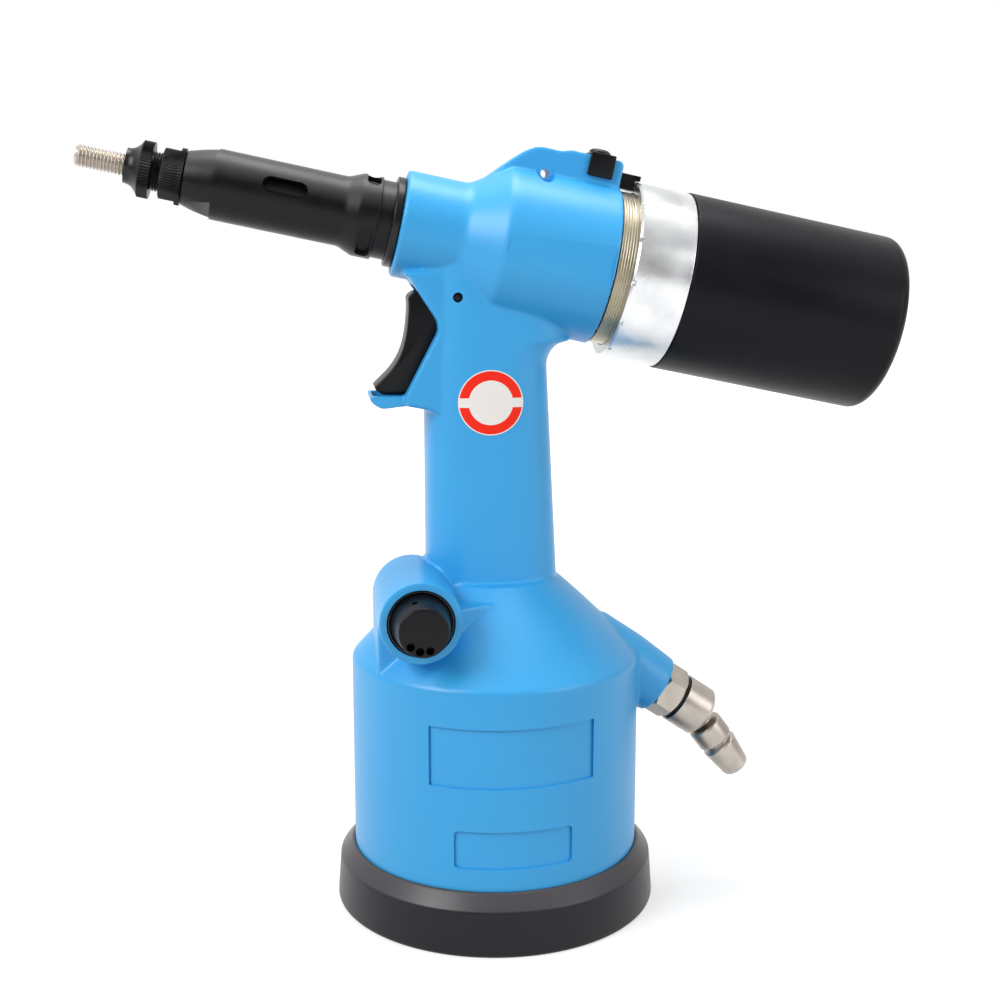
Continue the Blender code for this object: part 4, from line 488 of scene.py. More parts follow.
def soften(points):
    """Round the corners that carry a third value, which is how far back the rounding starts."""
    rounded = []
    for i, point in enumerate(points):
        here = Vector(point[:2])
        if len(point) == 2:
            rounded.append(tuple(here))
            continue
        before = Vector(points[i - 1][:2]) - here
        after = Vector(points[(i + 1) % len(points)][:2]) - here
        start = here + before.normalized() * min(point[2], before.length * CORNER_SHARE)
        end = here + after.normalized() * min(point[2], after.length * CORNER_SHARE)
        for k in range(CORNER_STEPS + 1):
            t = k / CORNER_STEPS
            rounded.append(tuple(start * (1 - t) ** 2 + here * 2 * t * (1 - t) + end * t * t))
    return rounded


def finished(name, shape):
    """Turn a bmesh into a smooth-shaded object with crisp edges."""
    bmesh.ops.recalc_face_normals(shape, faces=shape.faces)
    mesh = bpy.data.meshes.new(name)
    shape.to_mesh(mesh)
    shape.free()
    mesh.shade_smooth()
    mesh.set_sharp_from_angle(angle=SHARP_ANGLE)
    obj = bpy.data.objects.new(name, mesh)
    bpy.context.scene.collection.objects.link(obj)
    return obj


def lathe_into(shape, points, matrix, facets=FACETS, dent=None):
    """Revolve (along, radius) points about a frame's Z; dent may change the radius anywhere."""
    rings = []
    for along, radius in soften(points):
        if radius < ON_AXIS:
            rings.append([shape.verts.new(matrix @ Vector((0.0, 0.0, along)))])
            continue
        ring = []
        for k in range(facets):
            angle = 2 * math.pi * k / facets
            reach = radius if dent is None else dent(along, radius, angle)
            point = Vector((reach * math.cos(angle), reach * math.sin(angle), along))
            ring.append(shape.verts.new(matrix @ point))
        rings.append(ring)
    pairs = list(zip(rings, rings[1:]))
    if min(len(ring) for ring in rings) > 1:
        pairs.append((rings[-1], rings[0]))
    for lower, upper in pairs:
        for k in range(facets if len(lower) + len(upper) > 2 else 0):
            n = (k + 1) % facets
            corners = [lower[k % len(lower)], lower[n % len(lower)],
                       upper[n % len(upper)], upper[k % len(upper)]]
            shape.faces.new(list(dict.fromkeys(corners)))


def lathe(name, points, matrix, facets=FACETS, dent=None):
    shape = bmesh.new()
    lathe_into(shape, points, matrix, facets, dent)
    return finished(name, shape)


def rod(name, span, radius, matrix, facets=FACETS):
    low, high = span
    return lathe(name, [(low, 0.0), (low, radius), (high, radius), (high, 0.0)], matrix, facets)


def block_into(shape, low, high, matrix):
    size = Vector(high) - Vector(low)
    middle = (Vector(high) + Vector(low)) / 2
    placed = matrix @ Matrix.Translation(middle) @ Matrix.Diagonal(size.to_4d())
    bmesh.ops.create_cube(shape, size=1.0, matrix=placed)


def block(name, low, high, matrix):
    shape = bmesh.new()
    block_into(shape, low, high, matrix)
    return finished(name, shape)


def prism_into(shape, outline, half_width, matrix):
    """An outline in a frame's XZ plane, as thick as its width along Y."""
    near = [shape.verts.new(matrix @ Vector((x, -half_width, z))) for x, z in outline]
    far = [shape.verts.new(matrix @ Vector((x, half_width, z))) for x, z in outline]
    shape.faces.new(near)
    shape.faces.new(list(reversed(far)))
    for i in range(len(outline)):
        j = (i + 1) % len(outline)
        shape.faces.new((near[j], near[i], far[i], far[j]))


def prism(name, outline, half_width, matrix):
    shape = bmesh.new()
    prism_into(shape, outline, half_width, matrix)
    return finished(name, shape)


def settle(obj):
    """Apply an object's modifiers and shade the result afresh."""
    evaluated = obj.evaluated_get(bpy.context.evaluated_depsgraph_get())
    mesh = bpy.data.meshes.new_from_object(evaluated)
    obj.modifiers.clear()
    obj.data = mesh
    mesh.shade_smooth()
    mesh.set_sharp_from_angle(angle=SHARP_ANGLE)
    return obj


def combine(obj, cutters, operation='DIFFERENCE'):
    """Cut or join other closed shapes, which are used up."""
    for cutter in cutters:
        modifier = obj.modifiers.new(cutter.name, 'BOOLEAN')
        modifier.operation = operation
        modifier.solver = 'EXACT'
        modifier.object = cutter
    settle(obj)
    for cutter in cutters:
        bpy.data.objects.remove(cutter, do_unlink=True)
    return obj


def bevel(obj, width, angle=BEVEL_ANGLE):
    modifier = obj.modifiers.new("edge", 'BEVEL')
    modifier.width = width
    modifier.segments = BEVEL_SEGMENTS
    modifier.limit_method = 'ANGLE'
    modifier.angle_limit = math.radians(angle)
    return settle(obj)


def fine_steps(span, radius, step):
    """Close points along a cylinder, for a thread cut into it."""
    low, high = span
    count = max(2, round((high - low) / step))
    return [(low + (high - low) * i / count, radius) for i in range(count + 1)]


def helix(pitch, depth, radius, span):
    """A right-handed thread on the cylinder of one radius."""
    def dent(along, here, angle):
        if abs(here - radius) > TOLERANCE or not span[0] <= along <= span[1]:
            return here
        return here - depth * (0.5 + 0.5 * math.cos(2 * math.pi * along / pitch - angle))
    return dent


def knurl(*radii):
    """Even ridges along the axis on the cylinders of these radii."""
    def dent(along, here, angle):
        if min(abs(here - radius) for radius in radii) > TOLERANCE:
            return here
        return here - KNURL_DEPTH * (0.5 - 0.5 * math.cos(KNURLS * angle))
    return dent


def along_barrel(s, h):
    """World X and Z of a point at s along the barrel axis and h above it."""
    point = BARREL @ Vector((-h, 0.0, s))
    return point.x, point.z


def barrel_block(name, s_span, h_span, half_width):
    return block(name, (-h_span[1], -half_width, s_span[0]), (-h_span[0], half_width, s_span[1]), BARREL)


def radial_block(name, s_middle, angle, distance, length, width, depth):
    """A box whose inner face is at a distance from the barrel axis, at an angle above the -Y side."""
    turn = Matrix.Translation((0.0, 0.0, s_middle)) @ Matrix.Rotation(-math.pi / 2 - angle, 4, 'Z')
    low = (distance, -width / 2, -length / 2)
    high = (distance + depth, width / 2, length / 2)
    return block(name, low, high, BARREL @ turn)


# Finishes
def node(tree, kind, inputs=None, **values):
    """Add a node with these settings and with these values in its inputs."""
    made = tree.nodes.new(kind)
    for key, value in values.items():
        setattr(made, key, value)
    for socket, value in (inputs or {}).items():
        made.inputs[socket].default_value = value
    return made


def wire(tree, *links):
    """Link nodes; each link names a node, its output, the next node and that node's input."""
    for source, output, target, entry in links:
        tree.links.new(source.outputs[output], target.inputs[entry])


def map_range(tree, span, low=0.0, high=1.0):
    """A node that turns a span of values into low to high."""
    limits = {"From Min": span[0], "From Max": span[1], "To Min": low, "To Max": high}
    return node(tree, 'ShaderNodeMapRange', limits)


def surface(name, color, tint, roughness, spread, cloud, grain, bump, depth, specular=0.5, metallic=0.0,
            lines=None):
    """A procedural finish: drifting tone, uneven gloss, and a fine grain or turning lines along an axis."""
    material = bpy.data.materials.new(name)
    material.use_nodes = True
    tree = material.node_tree
    shader = tree.nodes["Principled BSDF"]
    shader.inputs["Metallic"].default_value = metallic
    shader.inputs["Specular IOR Level"].default_value = specular
    place = node(tree, 'ShaderNodeTexCoord')
    drift = node(tree, 'ShaderNodeTexNoise', {"Scale": cloud, "Detail": CLOUD_DETAIL})
    tones = node(tree, 'ShaderNodeValToRGB')
    for end, position, tone in zip(tones.color_ramp.elements, CLOUD_SPAN, (color, tint)):
        end.position = position
        end.color = (*tone, 1.0)
    fine = node(tree, 'ShaderNodeTexNoise', {"Scale": grain, "Detail": GRAIN_DETAIL})
    if lines is None:
        wire(tree, (place, "Object", fine, "Vector"))
    else:
        fine.noise_dimensions = '1D'
        along = node(tree, 'ShaderNodeVectorMath', {1: lines}, operation='DOT_PRODUCT')
        wire(tree, (place, "Object", along, 0), (along, "Value", fine, "W"))
    gloss = map_range(tree, GLOSS_SPAN, roughness - spread, roughness + spread)
    relief = node(tree, 'ShaderNodeBump', {"Strength": bump, "Distance": depth})
    wire(tree, (place, "Object", drift, "Vector"), (drift, "Fac", tones, "Fac"),
         (tones, "Color", shader, "Base Color"), (fine if lines else drift, "Fac", gloss, "Value"),
         (gloss, "Result", shader, "Roughness"), (fine, "Fac", relief, "Height"),
         (relief, "Normal", shader, "Normal"))
    return material


def metal(name, color, tint, roughness, spread, cloud, grain=2600.0, bump=0.05, depth=0.00005, lines=None):
    return surface(name, color, tint, roughness, spread, cloud, grain, bump, depth, metallic=1.0,
                   lines=lines)


def paint_over(material, mask, output, color):
    """Lay another colour over a finish, as far as the output of a mask node says."""
    tree = material.node_tree
    base = tree.nodes["Principled BSDF"].inputs["Base Color"]
    paint = node(tree, 'ShaderNodeMix', {MIX_B: (*color, 1.0)}, data_type='RGBA')
    tree.links.new(base.links[0].from_socket, paint.inputs[MIX_A])
    wire(tree, (mask, output, paint, "Factor"))
    tree.links.new(paint.outputs[MIX_RESULT], base)
    return material


def painted_top_sheen(material, sheen_colour):
    """Lighten the faces that look up: a painted sheen that stands for the light from above."""
    tree = material.node_tree
    place = node(tree, 'ShaderNodeTexCoord')
    split = node(tree, 'ShaderNodeSeparateXYZ')
    amount = map_range(tree, TOP_SHEEN_SPAN)
    wire(tree, (place, "Normal", split, "Vector"), (split, "Z", amount, "Value"))
    return paint_over(material, amount, "Result", sheen_colour)


INLET_LINES = tuple(INLET.to_3x3().col[2])
MATERIALS = {
    "blue_plastic": surface("blue_moulding", (0.033, 0.352, 0.725), (0.039, 0.372, 0.755), 0.38, 0.03,
                            cloud=14.0, grain=2600.0, bump=0.10, depth=0.00012),
    "black_rubber": surface("black_rubber", (0.006, 0.006, 0.010), (0.009, 0.009, 0.014), 0.34, 0.04,
                            cloud=40.0, grain=2200.0, bump=0.12, depth=0.00015, specular=0.4),
    "black_plastic": surface("black_plastic", (0.003, 0.003, 0.004), (0.005, 0.005, 0.006), 0.36, 0.05,
                             cloud=60.0, grain=2600.0, bump=0.08, depth=0.0001, specular=0.2),
    "black_oxide_steel": surface("black_oxide", (0.004, 0.004, 0.005), (0.007, 0.007, 0.008), 0.33, 0.05,
                                 cloud=90.0, grain=2400.0, bump=0.10, depth=0.0001, specular=0.32),
    "bright_steel": metal("bright_steel", (0.55, 0.54, 0.52), (0.63, 0.62, 0.59), 0.28, 0.06, 80.0, 3000.0),
    "thread_steel": metal("thread_steel", (0.52, 0.48, 0.38), (0.62, 0.57, 0.46), 0.36, 0.06, 120.0),
    "aluminium": metal("cast_aluminium", (0.60, 0.61, 0.62), (0.88, 0.89, 0.90), 0.30, 0.08, 55.0, 900.0,
                       bump=0.25, depth=0.00012),
    "nickel": metal("nickel_plate", (0.44, 0.395, 0.352), (0.52, 0.470, 0.417), 0.37, 0.06, 160.0, 4200.0,
                    bump=0.06, lines=INLET_LINES),
    "bronze": metal("bronze", (0.50, 0.34, 0.14), (0.58, 0.40, 0.18), 0.35, 0.06, 80.0),
}
COVER_RUBBER = surface("cover_rubber", (0.004, 0.004, 0.006), (0.008, 0.008, 0.011), 0.38, 0.06,
                       cloud=22.0, grain=1900.0, bump=0.10, depth=0.00015, specular=0.13)
MANDREL_NICKEL = metal("mandrel_steel", (0.46, 0.41, 0.36), (0.54, 0.49, 0.43), 0.40, 0.05, 160.0)
# Boot rubber with a painted sheen on its upward bevel, standing for the light from above
BOOT_RUBBER = painted_top_sheen(surface("boot_rubber", (0.004, 0.004, 0.007), (0.006, 0.006, 0.010), 0.34, 0.04,
                             cloud=40.0, grain=2200.0, bump=0.12, depth=0.00015, specular=0.33),
                     (0.066, 0.062, 0.067))
# Nose oxide with a painted sheen on its top, standing for the broad highlight from above
NOSE_OXIDE = painted_top_sheen(surface("nose_oxide", (0.004, 0.004, 0.005), (0.007, 0.007, 0.008), 0.36, 0.05,
                            cloud=90.0, grain=2400.0, bump=0.12, depth=0.0001, specular=0.2),
                    (0.056, 0.053, 0.053))


def sticker_material():
    """A round label: red ring, white middle and a white band across, all bare of words."""
    material = surface("round_label", (0.92, 0.022, 0.008), (0.95, 0.028, 0.010), 0.35, 0.04,
                       cloud=60.0, grain=1500.0, bump=0.03, depth=0.0001, specular=0.2)
    tree = material.node_tree
    place = node(tree, 'ShaderNodeTexCoord')
    offset = node(tree, 'ShaderNodeVectorMath', {1: (STICKER_X, 0.0, STICKER_Z)}, operation='SUBTRACT')
    flat = node(tree, 'ShaderNodeVectorMath', {1: (1.0, 0.0, 1.0)}, operation='MULTIPLY')
    reach = node(tree, 'ShaderNodeVectorMath', operation='LENGTH')
    split = node(tree, 'ShaderNodeSeparateXYZ')
    height = node(tree, 'ShaderNodeMath', operation='ABSOLUTE')
    core = node(tree, 'ShaderNodeMath', {1: STICKER_CORE_R}, operation='LESS_THAN')
    band = node(tree, 'ShaderNodeMath', {1: STICKER_BAND}, operation='LESS_THAN')
    border = node(tree, 'ShaderNodeMath', {1: STICKER_R - STICKER_BORDER}, operation='GREATER_THAN')
    middle = node(tree, 'ShaderNodeMath', operation='MAXIMUM')
    white = node(tree, 'ShaderNodeMath', operation='MAXIMUM')
    wire(tree, (place, "Object", offset, 0), (offset, "Vector", flat, 0), (flat, "Vector", reach, 0),
         (flat, "Vector", split, "Vector"), (split, "Z", height, 0), (reach, "Value", core, 0),
         (height, "Value", band, 0), (reach, "Value", border, 0), (core, "Value", middle, 0),
         (band, "Value", middle, 1), (middle, "Value", white, 0), (border, "Value", white, 1))
    return paint_over(material, white, "Value", LABEL_WHITE)


def dress(obj, body, slot, *replaced, material=None):
    """Give a piece its finish, its body and the solids that it stands for."""
    obj.data.materials.clear()
    obj.data.materials.append(material or MATERIALS[slot])
    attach(obj, body)
    if replaced:
        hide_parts(*replaced)
    return obj


for part in frame["record"]["subparts"]:
    slots = nodes[part["node"]].material_slots
    for slot in slots:
        slot.material = MATERIALS[part["material_slot"]]


# Blue housing: one moulded shell, blended from its simple forms and then bored
def dome_profile():
    points = [(SHROUD_FOOT_Z, 0.0), (SHROUD_FOOT_Z, SHROUD_R)]
    centre = (SHROUD_R - SHOULDER_ROUND, SHOULDER_Z - SHOULDER_ROUND)
    points += [(z, r) for r, z in arc(centre, SHOULDER_ROUND, 0, DOME_EDGE_ANGLE, DOME_EDGE_STEPS)]
    edge_z, edge_r = points[-1]
    for i in range(1, DOME_FLANK_STEPS + 1):
        t = i / DOME_FLANK_STEPS
        rise = t * (1 + DOME_FLANK_BULGE - DOME_FLANK_BULGE * t)
        points.append((edge_z + (DOME_CROWN_Z - edge_z) * rise, edge_r + (DOME_CROWN_R - edge_r) * t))
    points.append((DOME_CROWN_Z, 0.0))
    return points


def fillet(distance, radius):
    """How far a fillet stands out at a distance from where it starts."""
    reach = min(max(distance, 0.0), radius)
    return radius - math.sqrt(radius * radius - reach * reach)


def handle_section(z):
    """Rounded-rectangle section of the grip; the foot flares all round and the top flares to the rear."""
    foot = fillet(HANDLE_FOOT_Z + FOOT_FILLET - z, FOOT_FILLET)
    top = fillet(z - HANDLE_TOP_FILLET_Z, TOP_FILLET)
    share = (z - HANDLE_FOOT_Z) / (HANDLE_TOP_FILLET_Z - HANDLE_FOOT_Z)
    rear = HANDLE_REAR_FOOT_X + (HANDLE_REAR_TOP_X - HANDLE_REAR_FOOT_X) * share + foot + top
    half_width = HANDLE_HALF_WIDTH + foot / 2
    middle = (rear + HANDLE_FRONT_X) / 2
    half_length = (rear - HANDLE_FRONT_X) / 2
    power = 2 / HANDLE_ROUNDNESS
    points = []
    for i in range(FACETS):
        angle = 2 * math.pi * (i + 0.5) / FACETS
        x = math.copysign(abs(math.cos(angle)) ** power, math.cos(angle))
        y = math.copysign(abs(math.sin(angle)) ** power, math.sin(angle))
        points.append((middle + half_length * x, half_width * y, z))
    return points


def handle_into(shape):
    """Loft through the grip's sections."""
    steps = range(FILLET_STEPS + 1)
    heights = [HANDLE_FOOT_Z + FOOT_FILLET * i / FILLET_STEPS for i in steps]
    heights += [HANDLE_TOP_FILLET_Z + TOP_FILLET * i / FILLET_STEPS for i in steps]
    heights.append(BARREL.translation.z)
    rings = [[shape.verts.new(point) for point in handle_section(z)] for z in heights]
    for lower, upper in zip(rings, rings[1:]):
        for i in range(FACETS):
            j = (i + 1) % FACETS
            shape.faces.new((lower[i], lower[j], upper[j], upper[i]))
    shape.faces.new(list(reversed(rings[0])))
    shape.faces.new(rings[-1])


def fin_outline():
    """Fin over the barrel as (x, z) points, from the front foot over the top to the rear."""
    corners = [(FIN_FOOT_S, FIN_FOOT_H), *zip(FIN_BROW_S, FIN_BROW_H),
               (FIN_STEP_S - FIN_RAMP, FIN_BROW_H[-1]), (FIN_STEP_S, FIN_TOP_H),
               (FIN_REAR_S - FIN_CORNER, FIN_TOP_H),
               (FIN_REAR_S, FIN_TOP_H - FIN_CORNER), (FIN_REAR_S, FIN_FOOT_H)]
    return [along_barrel(s, h) for s, h in corners]


def mouth_outline():
    """The V that opens the block's front round the trigger, with its points set from the pin."""
    ledge = LEDGE_TOP_Z + GAP
    front = TRIGGER_PIN_X + MOUTH_FRONT_X
    points = [(TRIGGER_PIN_X + x, TRIGGER_PIN_Z + h) for x, h in zip(MOUTH_X, MOUTH_H)]
    return [(front, ledge)] + points + [(points[-1][0], ledge)]


def block_outline():
    top = BARREL.translation.z - BARREL_FRONT_R / 2
    return [(BLOCK_FRONT_X, BLOCK_BOTTOM_Z + BLOCK_FRONT_LIFT),
            (HANDLE_FRONT_X, BLOCK_BOTTOM_Z + BLOCK_CHIN_LIFT),
            (HANDLE_FRONT_X + BLOCK_CHIN_LENGTH, BLOCK_BOTTOM_Z), (BLOCK_BACK_X, BLOCK_BOTTOM_Z),
            (BLOCK_BACK_X, top), (BLOCK_FRONT_X, top)]


def ledge_outline():
    return [(LEDGE_TIP_X, LEDGE_TOP_Z), (LEDGE_TIP_X, LEDGE_TOP_Z - LEDGE_TIP_THICK),
            (LEDGE_TIP_X + LEDGE_CHIN_X[0], LEDGE_BOTTOM_Z + LEDGE_CHIN_LIFT),
            (LEDGE_TIP_X + LEDGE_CHIN_X[1], LEDGE_BOTTOM_Z),
            (LEDGE_BELLY_X, LEDGE_BOTTOM_Z + LEDGE_BELLY_LIFT),
            (LEDGE_ROOT_X, LEDGE_BOTTOM_Z + LEDGE_ROOT_LIFT), (LEDGE_ROOT_X, LEDGE_TOP_Z)]


def slot_outline():
    back = TRIGGER_BACK_X + (TRIGGER_PIN_Z - TRIGGER_TAIL_Z) * math.sin(TRIGGER_SWING)
    eye = TRIGGER_EYE_R + 2 * GAP
    top = TRIGGER_PIN_Z + eye
    neck = TRIGGER_PIN_Z - TRIGGER_NECK - 2 * GAP
    floor = TRIGGER_TAIL_Z + (TRIGGER_TAIL_X - TRIGGER_PIN_X) * math.sin(TRIGGER_SWING) - GAP
    front = LEDGE_TIP_X + LEDGE_LIP
    return [(front, floor), (back, floor), (back, neck), (TRIGGER_PIN_X + eye, neck),
            (TRIGGER_PIN_X + eye, top), (front, top)]


def panel_cutter(name, width, heights, corner):
    """A shallow window of even depth in the shroud's side."""
    low, high = heights
    outline = soften([(-width / 2, low, corner), (width / 2, low, corner), (width / 2, high, corner),
                      (-width / 2, high, corner)])
    at = Matrix.Translation((0.0, -SHROUD_R * PANEL_CUTTER_SHARE, 0.0))
    cutter = prism(name, outline, SHROUD_R / 2, at)
    core_r = SHROUD_R - PANEL_DEPTH
    return combine(cutter, [rod(name + "_core", (0.0, SHOULDER_Z), core_r, BASE, BASE_FACETS)])


def blend_forms(name, shape, rounds):
    """Melt overlapping closed forms into one skin; smoothing rounds soften its edges."""
    obj = finished(name, shape)
    skin = obj.modifiers.new("skin", 'REMESH')
    skin.mode = 'VOXEL'
    skin.voxel_size = VOXEL
    soft = obj.modifiers.new("soft", 'SMOOTH')
    soft.factor = SMOOTH_SHARE
    soft.iterations = rounds
    return settle(obj)


def main_forms(shape):
    barrel = [(BARREL_FRONT_S, 0.0), (BARREL_FRONT_S, BARREL_FRONT_R, BARREL_EDGE),
              (BARREL_NECK_S, BARREL_FRONT_R, BARREL_NECK_ROUND),
              (BARREL_CONE_END_S, BARREL_R, BARREL_CONE_ROUND),
              (BARREL_REAR_S, BARREL_REAR_R), (BARREL_REAR_S, 0.0)]
    lathe_into(shape, barrel, BARREL)
    prism_into(shape, fin_outline(), FIN_HALF_WIDTH, BASE)
    lathe_into(shape, dome_profile(), BASE, BASE_FACETS)
    boss = [(-BOSS_BACK_Y, 0.0), (-BOSS_BACK_Y, BOSS_R, BOSS_BACK_ROUND), (-BOSS_RIM_Y, BOSS_R),
            (-BOSS_RIM_Y, 0.0)]
    lathe_into(shape, boss, VALVE)
    near, far = BOSS_WEB_Y
    left = BOSS_X - BOSS_R + GAP
    web = [(left, near), (WEB_WEDGE_X, near), (WEB_WEDGE_X, WEB_WEDGE_Y[0]),
           (BOSS_WEB_BACK_X, WEB_WEDGE_Y[1]), (BOSS_WEB_BACK_X, far), (left, far)]
    upright = Matrix.Translation((0.0, 0.0, sum(BOSS_WEB_Z) / 2)) @ Matrix.Rotation(math.pi / 2, 4, 'X')
    prism_into(shape, [(x, -y) for x, y in web], (BOSS_WEB_Z[1] - BOSS_WEB_Z[0]) / 2, upright)
    arm = [(-ARM_LENGTH, 0.0), (-ARM_LENGTH, ARM_R), (-ARM_TAPER, ARM_R, ARM_ROUND), (0.0, ARM_FACE_R),
           (0.0, 0.0)]
    lathe_into(shape, arm, INLET)


def housing_cutters():
    flange_top = HEAD_TOP_Z + RAM_FLANGE_THICK + 3 * GAP
    flange_r = RAM_FLANGE_R + GAP
    ram_end = BARREL.translation.z
    ram_way = [(HEAD_Z, 0.0), (HEAD_Z, flange_r), (flange_top, flange_r), (flange_top, RAM_SHAFT_HOLE_R),
               (ram_end, RAM_SHAFT_HOLE_R), (ram_end, 0.0)]
    front = BARREL_FRONT_S - CUT_PAST
    rear = BARREL_REAR_S + CUT_PAST
    bore_r = OIL_BODY_R + GAP
    bore = [(front, 0.0), (front, SHANK_R + GAP), (OIL_SEAT_S, SHANK_R + GAP), (OIL_SEAT_S, NECK_BORE_R),
            (OIL_NECK_END_S, NECK_BORE_R), (OIL_BODY_S - 2 * GAP, bore_r), (rear, bore_r), (rear, 0.0)]
    pin_reach = 2 * BLOCK_HALF_WIDTH
    hole = BARREL @ Matrix.Translation((-FIN_HOLE_H, 0.0, FIN_HOLE_S)) @ Matrix.Rotation(math.pi / 2, 4, 'X')
    hole_reach = 2 * FIN_HALF_WIDTH
    cutters = [
        rod("base_cavity", (SHROUD_FOOT_Z - CUT_PAST, HEAD_TOP_Z + GAP), CAVITY_R, BASE, BASE_FACETS),
        lathe("ram_way", ram_way, BASE),
        lathe("barrel_bore", bore, BARREL),
        rod("valve_bore", (-BOSS_BORE_END_Y, CUT_PAST - BOSS_RIM_Y), BOSS_BORE_R, VALVE),
        rod("inlet_bore", (-INLET_SHANK_LENGTH - GAP, CUT_PAST), INLET_SHANK_R + GAP, INLET),
        prism("trigger_slot", slot_outline(), TRIGGER_HALF_WIDTH + GAP, BASE),
        rod("pilot_bore", (PILOT_BUSH_FRONT_X, -RAM_TUBE_R), PILOT_BUSH_R + GAP, PILOT, HOLE_FACETS),
        rod("pin_hole", (-pin_reach, pin_reach), TRIGGER_PIN_R + GAP, PIN, HOLE_FACETS),
        rod("hang_hole", (-hole_reach, hole_reach), FIN_HOLE_R, hole, HOLE_FACETS),
    ]
    for side, turn in SIDES:
        face = hole @ Matrix.Rotation(turn, 4, 'X')
        span = (FIN_HALF_WIDTH, FIN_HALF_WIDTH + FIN_FACE_DEPTH)
        cutters.append(rod("spot_face_" + side, span, FIN_FACE_R, face, SCREW_FACETS))
    slot_s = (SCREW_S - LATCH_STROKE - SCREW_R - 2 * GAP, SCREW_S + SCREW_R + 2 * GAP)
    cutters += [
        barrel_block("latch_channel", (LATCH_CHANNEL_S - 2 * GAP, FIN_REAR_S + CUT_PAST),
                     (BOLT_H[0] - GAP, BOLT_H[1] + GAP), BOLT_HALF_WIDTH + GAP),
        barrel_block("latch_slot", slot_s, (BOLT_H[1], FIN_TOP_H + CUT_PAST), SCREW_R + GAP),
        block("label_flat", (-LABEL_FLAT_H[1], -2 * BARREL_R, LABEL_FLAT_S[0]),
              (-LABEL_FLAT_H[0], -LABEL_FLAT_DISTANCE, LABEL_FLAT_S[1]), BARREL),
        panel_cutter("upper_panel", PANEL_UPPER_WIDTH, PANEL_UPPER_Z, PANEL_UPPER_CORNER),
        panel_cutter("lower_panel", PANEL_LOWER_WIDTH, PANEL_LOWER_Z, PANEL_LOWER_CORNER),
    ]
    return cutters


def make_housing():
    grip_forms = bmesh.new()
    handle_into(grip_forms)
    prism_into(grip_forms, block_outline(), BLOCK_HALF_WIDTH, BASE)
    grip = blend_forms("grip_forms", grip_forms, 0)
    combine(grip, [prism("trigger_mouth", mouth_outline(), 2 * BLOCK_HALF_WIDTH, BASE)])
    all_forms = bmesh.new()
    all_forms.from_mesh(grip.data)
    main_forms(all_forms)
    prism_into(all_forms, ledge_outline(), LEDGE_HALF_WIDTH, BASE)
    housing = blend_forms("housing_shell", all_forms, SMOOTH_ROUNDS)
    bpy.data.objects.remove(grip, do_unlink=True)
    combine(housing, housing_cutters())
    return dress(housing, "housing", "blue_plastic", "handle_housing")


# Boot, valve and inlet
def make_boot():
    boot = [(0.0, 0.0), (0.0, BOOT_FOOT_R, BOOT_EDGE_ROUND), (BOOT_RIM_Z, BOOT_RIM_R, SMALL_ROUND),
            (BOOT_TOP_Z, SHROUD_R + BOOT_LIP, SMALL_ROUND), (BOOT_TOP_Z, BOOT_BORE_R),
            (BOOT_FLOOR, BOOT_BORE_R), (BOOT_FLOOR, 0.0)]
    fine = lathe("boot_fine", boot, BASE, BASE_FACETS)
    dress(fine, "housing", "black_rubber", "base_boot", material=BOOT_RUBBER)


def make_valve_pieces():
    shank_r = BOSS_BORE_R - GAP
    seat = -BOSS_RIM_Y - CAP_SEAT
    shank_back = seat - CAP_SHANK_LENGTH
    face = -BOSS_RIM_Y + CAP_PROUD
    hollow_end = face - CAP_WALL
    cap = [(shank_back, shank_r - CAP_WALL), (shank_back, shank_r), (seat, shank_r),
           (seat, CAP_BASE_R - GAP), (-BOSS_RIM_Y, CAP_BASE_R),
           (face, CAP_FACE_R + CAP_EDGE / 2, CAP_EDGE), (face, 0.0), (hollow_end, 0.0),
           (hollow_end, CAP_FACE_R - CAP_WALL + GAP), (seat, CAP_BASE_R - CAP_WALL)]
    valve_cap = lathe("valve_cap_fine", cap, VALVE)
    holes = []
    for angle in CAP_HOLE_ANGLES:
        turn = math.radians(angle)
        at = Matrix.Translation((CAP_HOLE_PITCH_R * math.cos(turn), CAP_HOLE_PITCH_R * math.sin(turn), 0.0))
        span = (hollow_end - CAP_WALL, face + CAP_WALL)
        holes.append(rod("cap_hole_%d" % angle, span, CAP_HOLE_R, VALVE @ at, CAP_HOLE_FACETS))
    side = (VALVE @ Matrix.Translation((0.0, 0.0, (face - BOSS_RIM_Y) / 2))
            @ Matrix.Rotation(CAP_SIDE_HOLE_TURN, 4, 'Z') @ Matrix.Rotation(-math.pi / 2, 4, 'X'))
    span = (CAP_FACE_R - CAP_WALL - CAP_EDGE, 2 * CAP_BASE_R)
    holes.append(rod("cap_side_hole", span, CAP_SIDE_HOLE_R, side, CAP_HOLE_FACETS))
    combine(valve_cap, holes)
    dress(valve_cap, "housing", "black_plastic", "valve_cap")
    rim = -BOSS_RIM_Y - GAP
    seal = [(seat + GAP, shank_r), (rim, shank_r, EDGE_ROUND), (rim, CAP_BASE_R + GAP, EDGE_ROUND),
            (seat + GAP, CAP_BASE_R + GAP)]
    dress(lathe("cap_seal_fine", seal, VALVE), "housing", "black_rubber", "cap_seal")


def make_bushing(hex_end):
    corner = HEX_FLATS / math.sqrt(3)
    bushing = rod("inlet_bushing_fine", (GAP, hex_end), corner, INLET, HEX_SIDES)
    chamfered = [(GAP, 0.0), (GAP, HEX_FLATS / 2), (GAP + HEX_CHAMFER, corner + GAP),
                 (hex_end - HEX_CHAMFER, corner + GAP), (hex_end, HEX_FLATS / 2), (hex_end, 0.0)]
    combine(bushing, [lathe("hex_chamfer", chamfered, INLET)], 'INTERSECT')
    combine(bushing, [rod("inlet_shank", (-INLET_SHANK_LENGTH, hex_end / 2), INLET_SHANK_R, INLET)], 'UNION')
    combine(bushing, [rod("inlet_hole", (-2 * CUT_PAST, 2 * CUT_PAST), INLET_BORE_R, INLET, HOLE_FACETS)])
    dress(bushing, "housing", "nickel", "inlet_bushing")


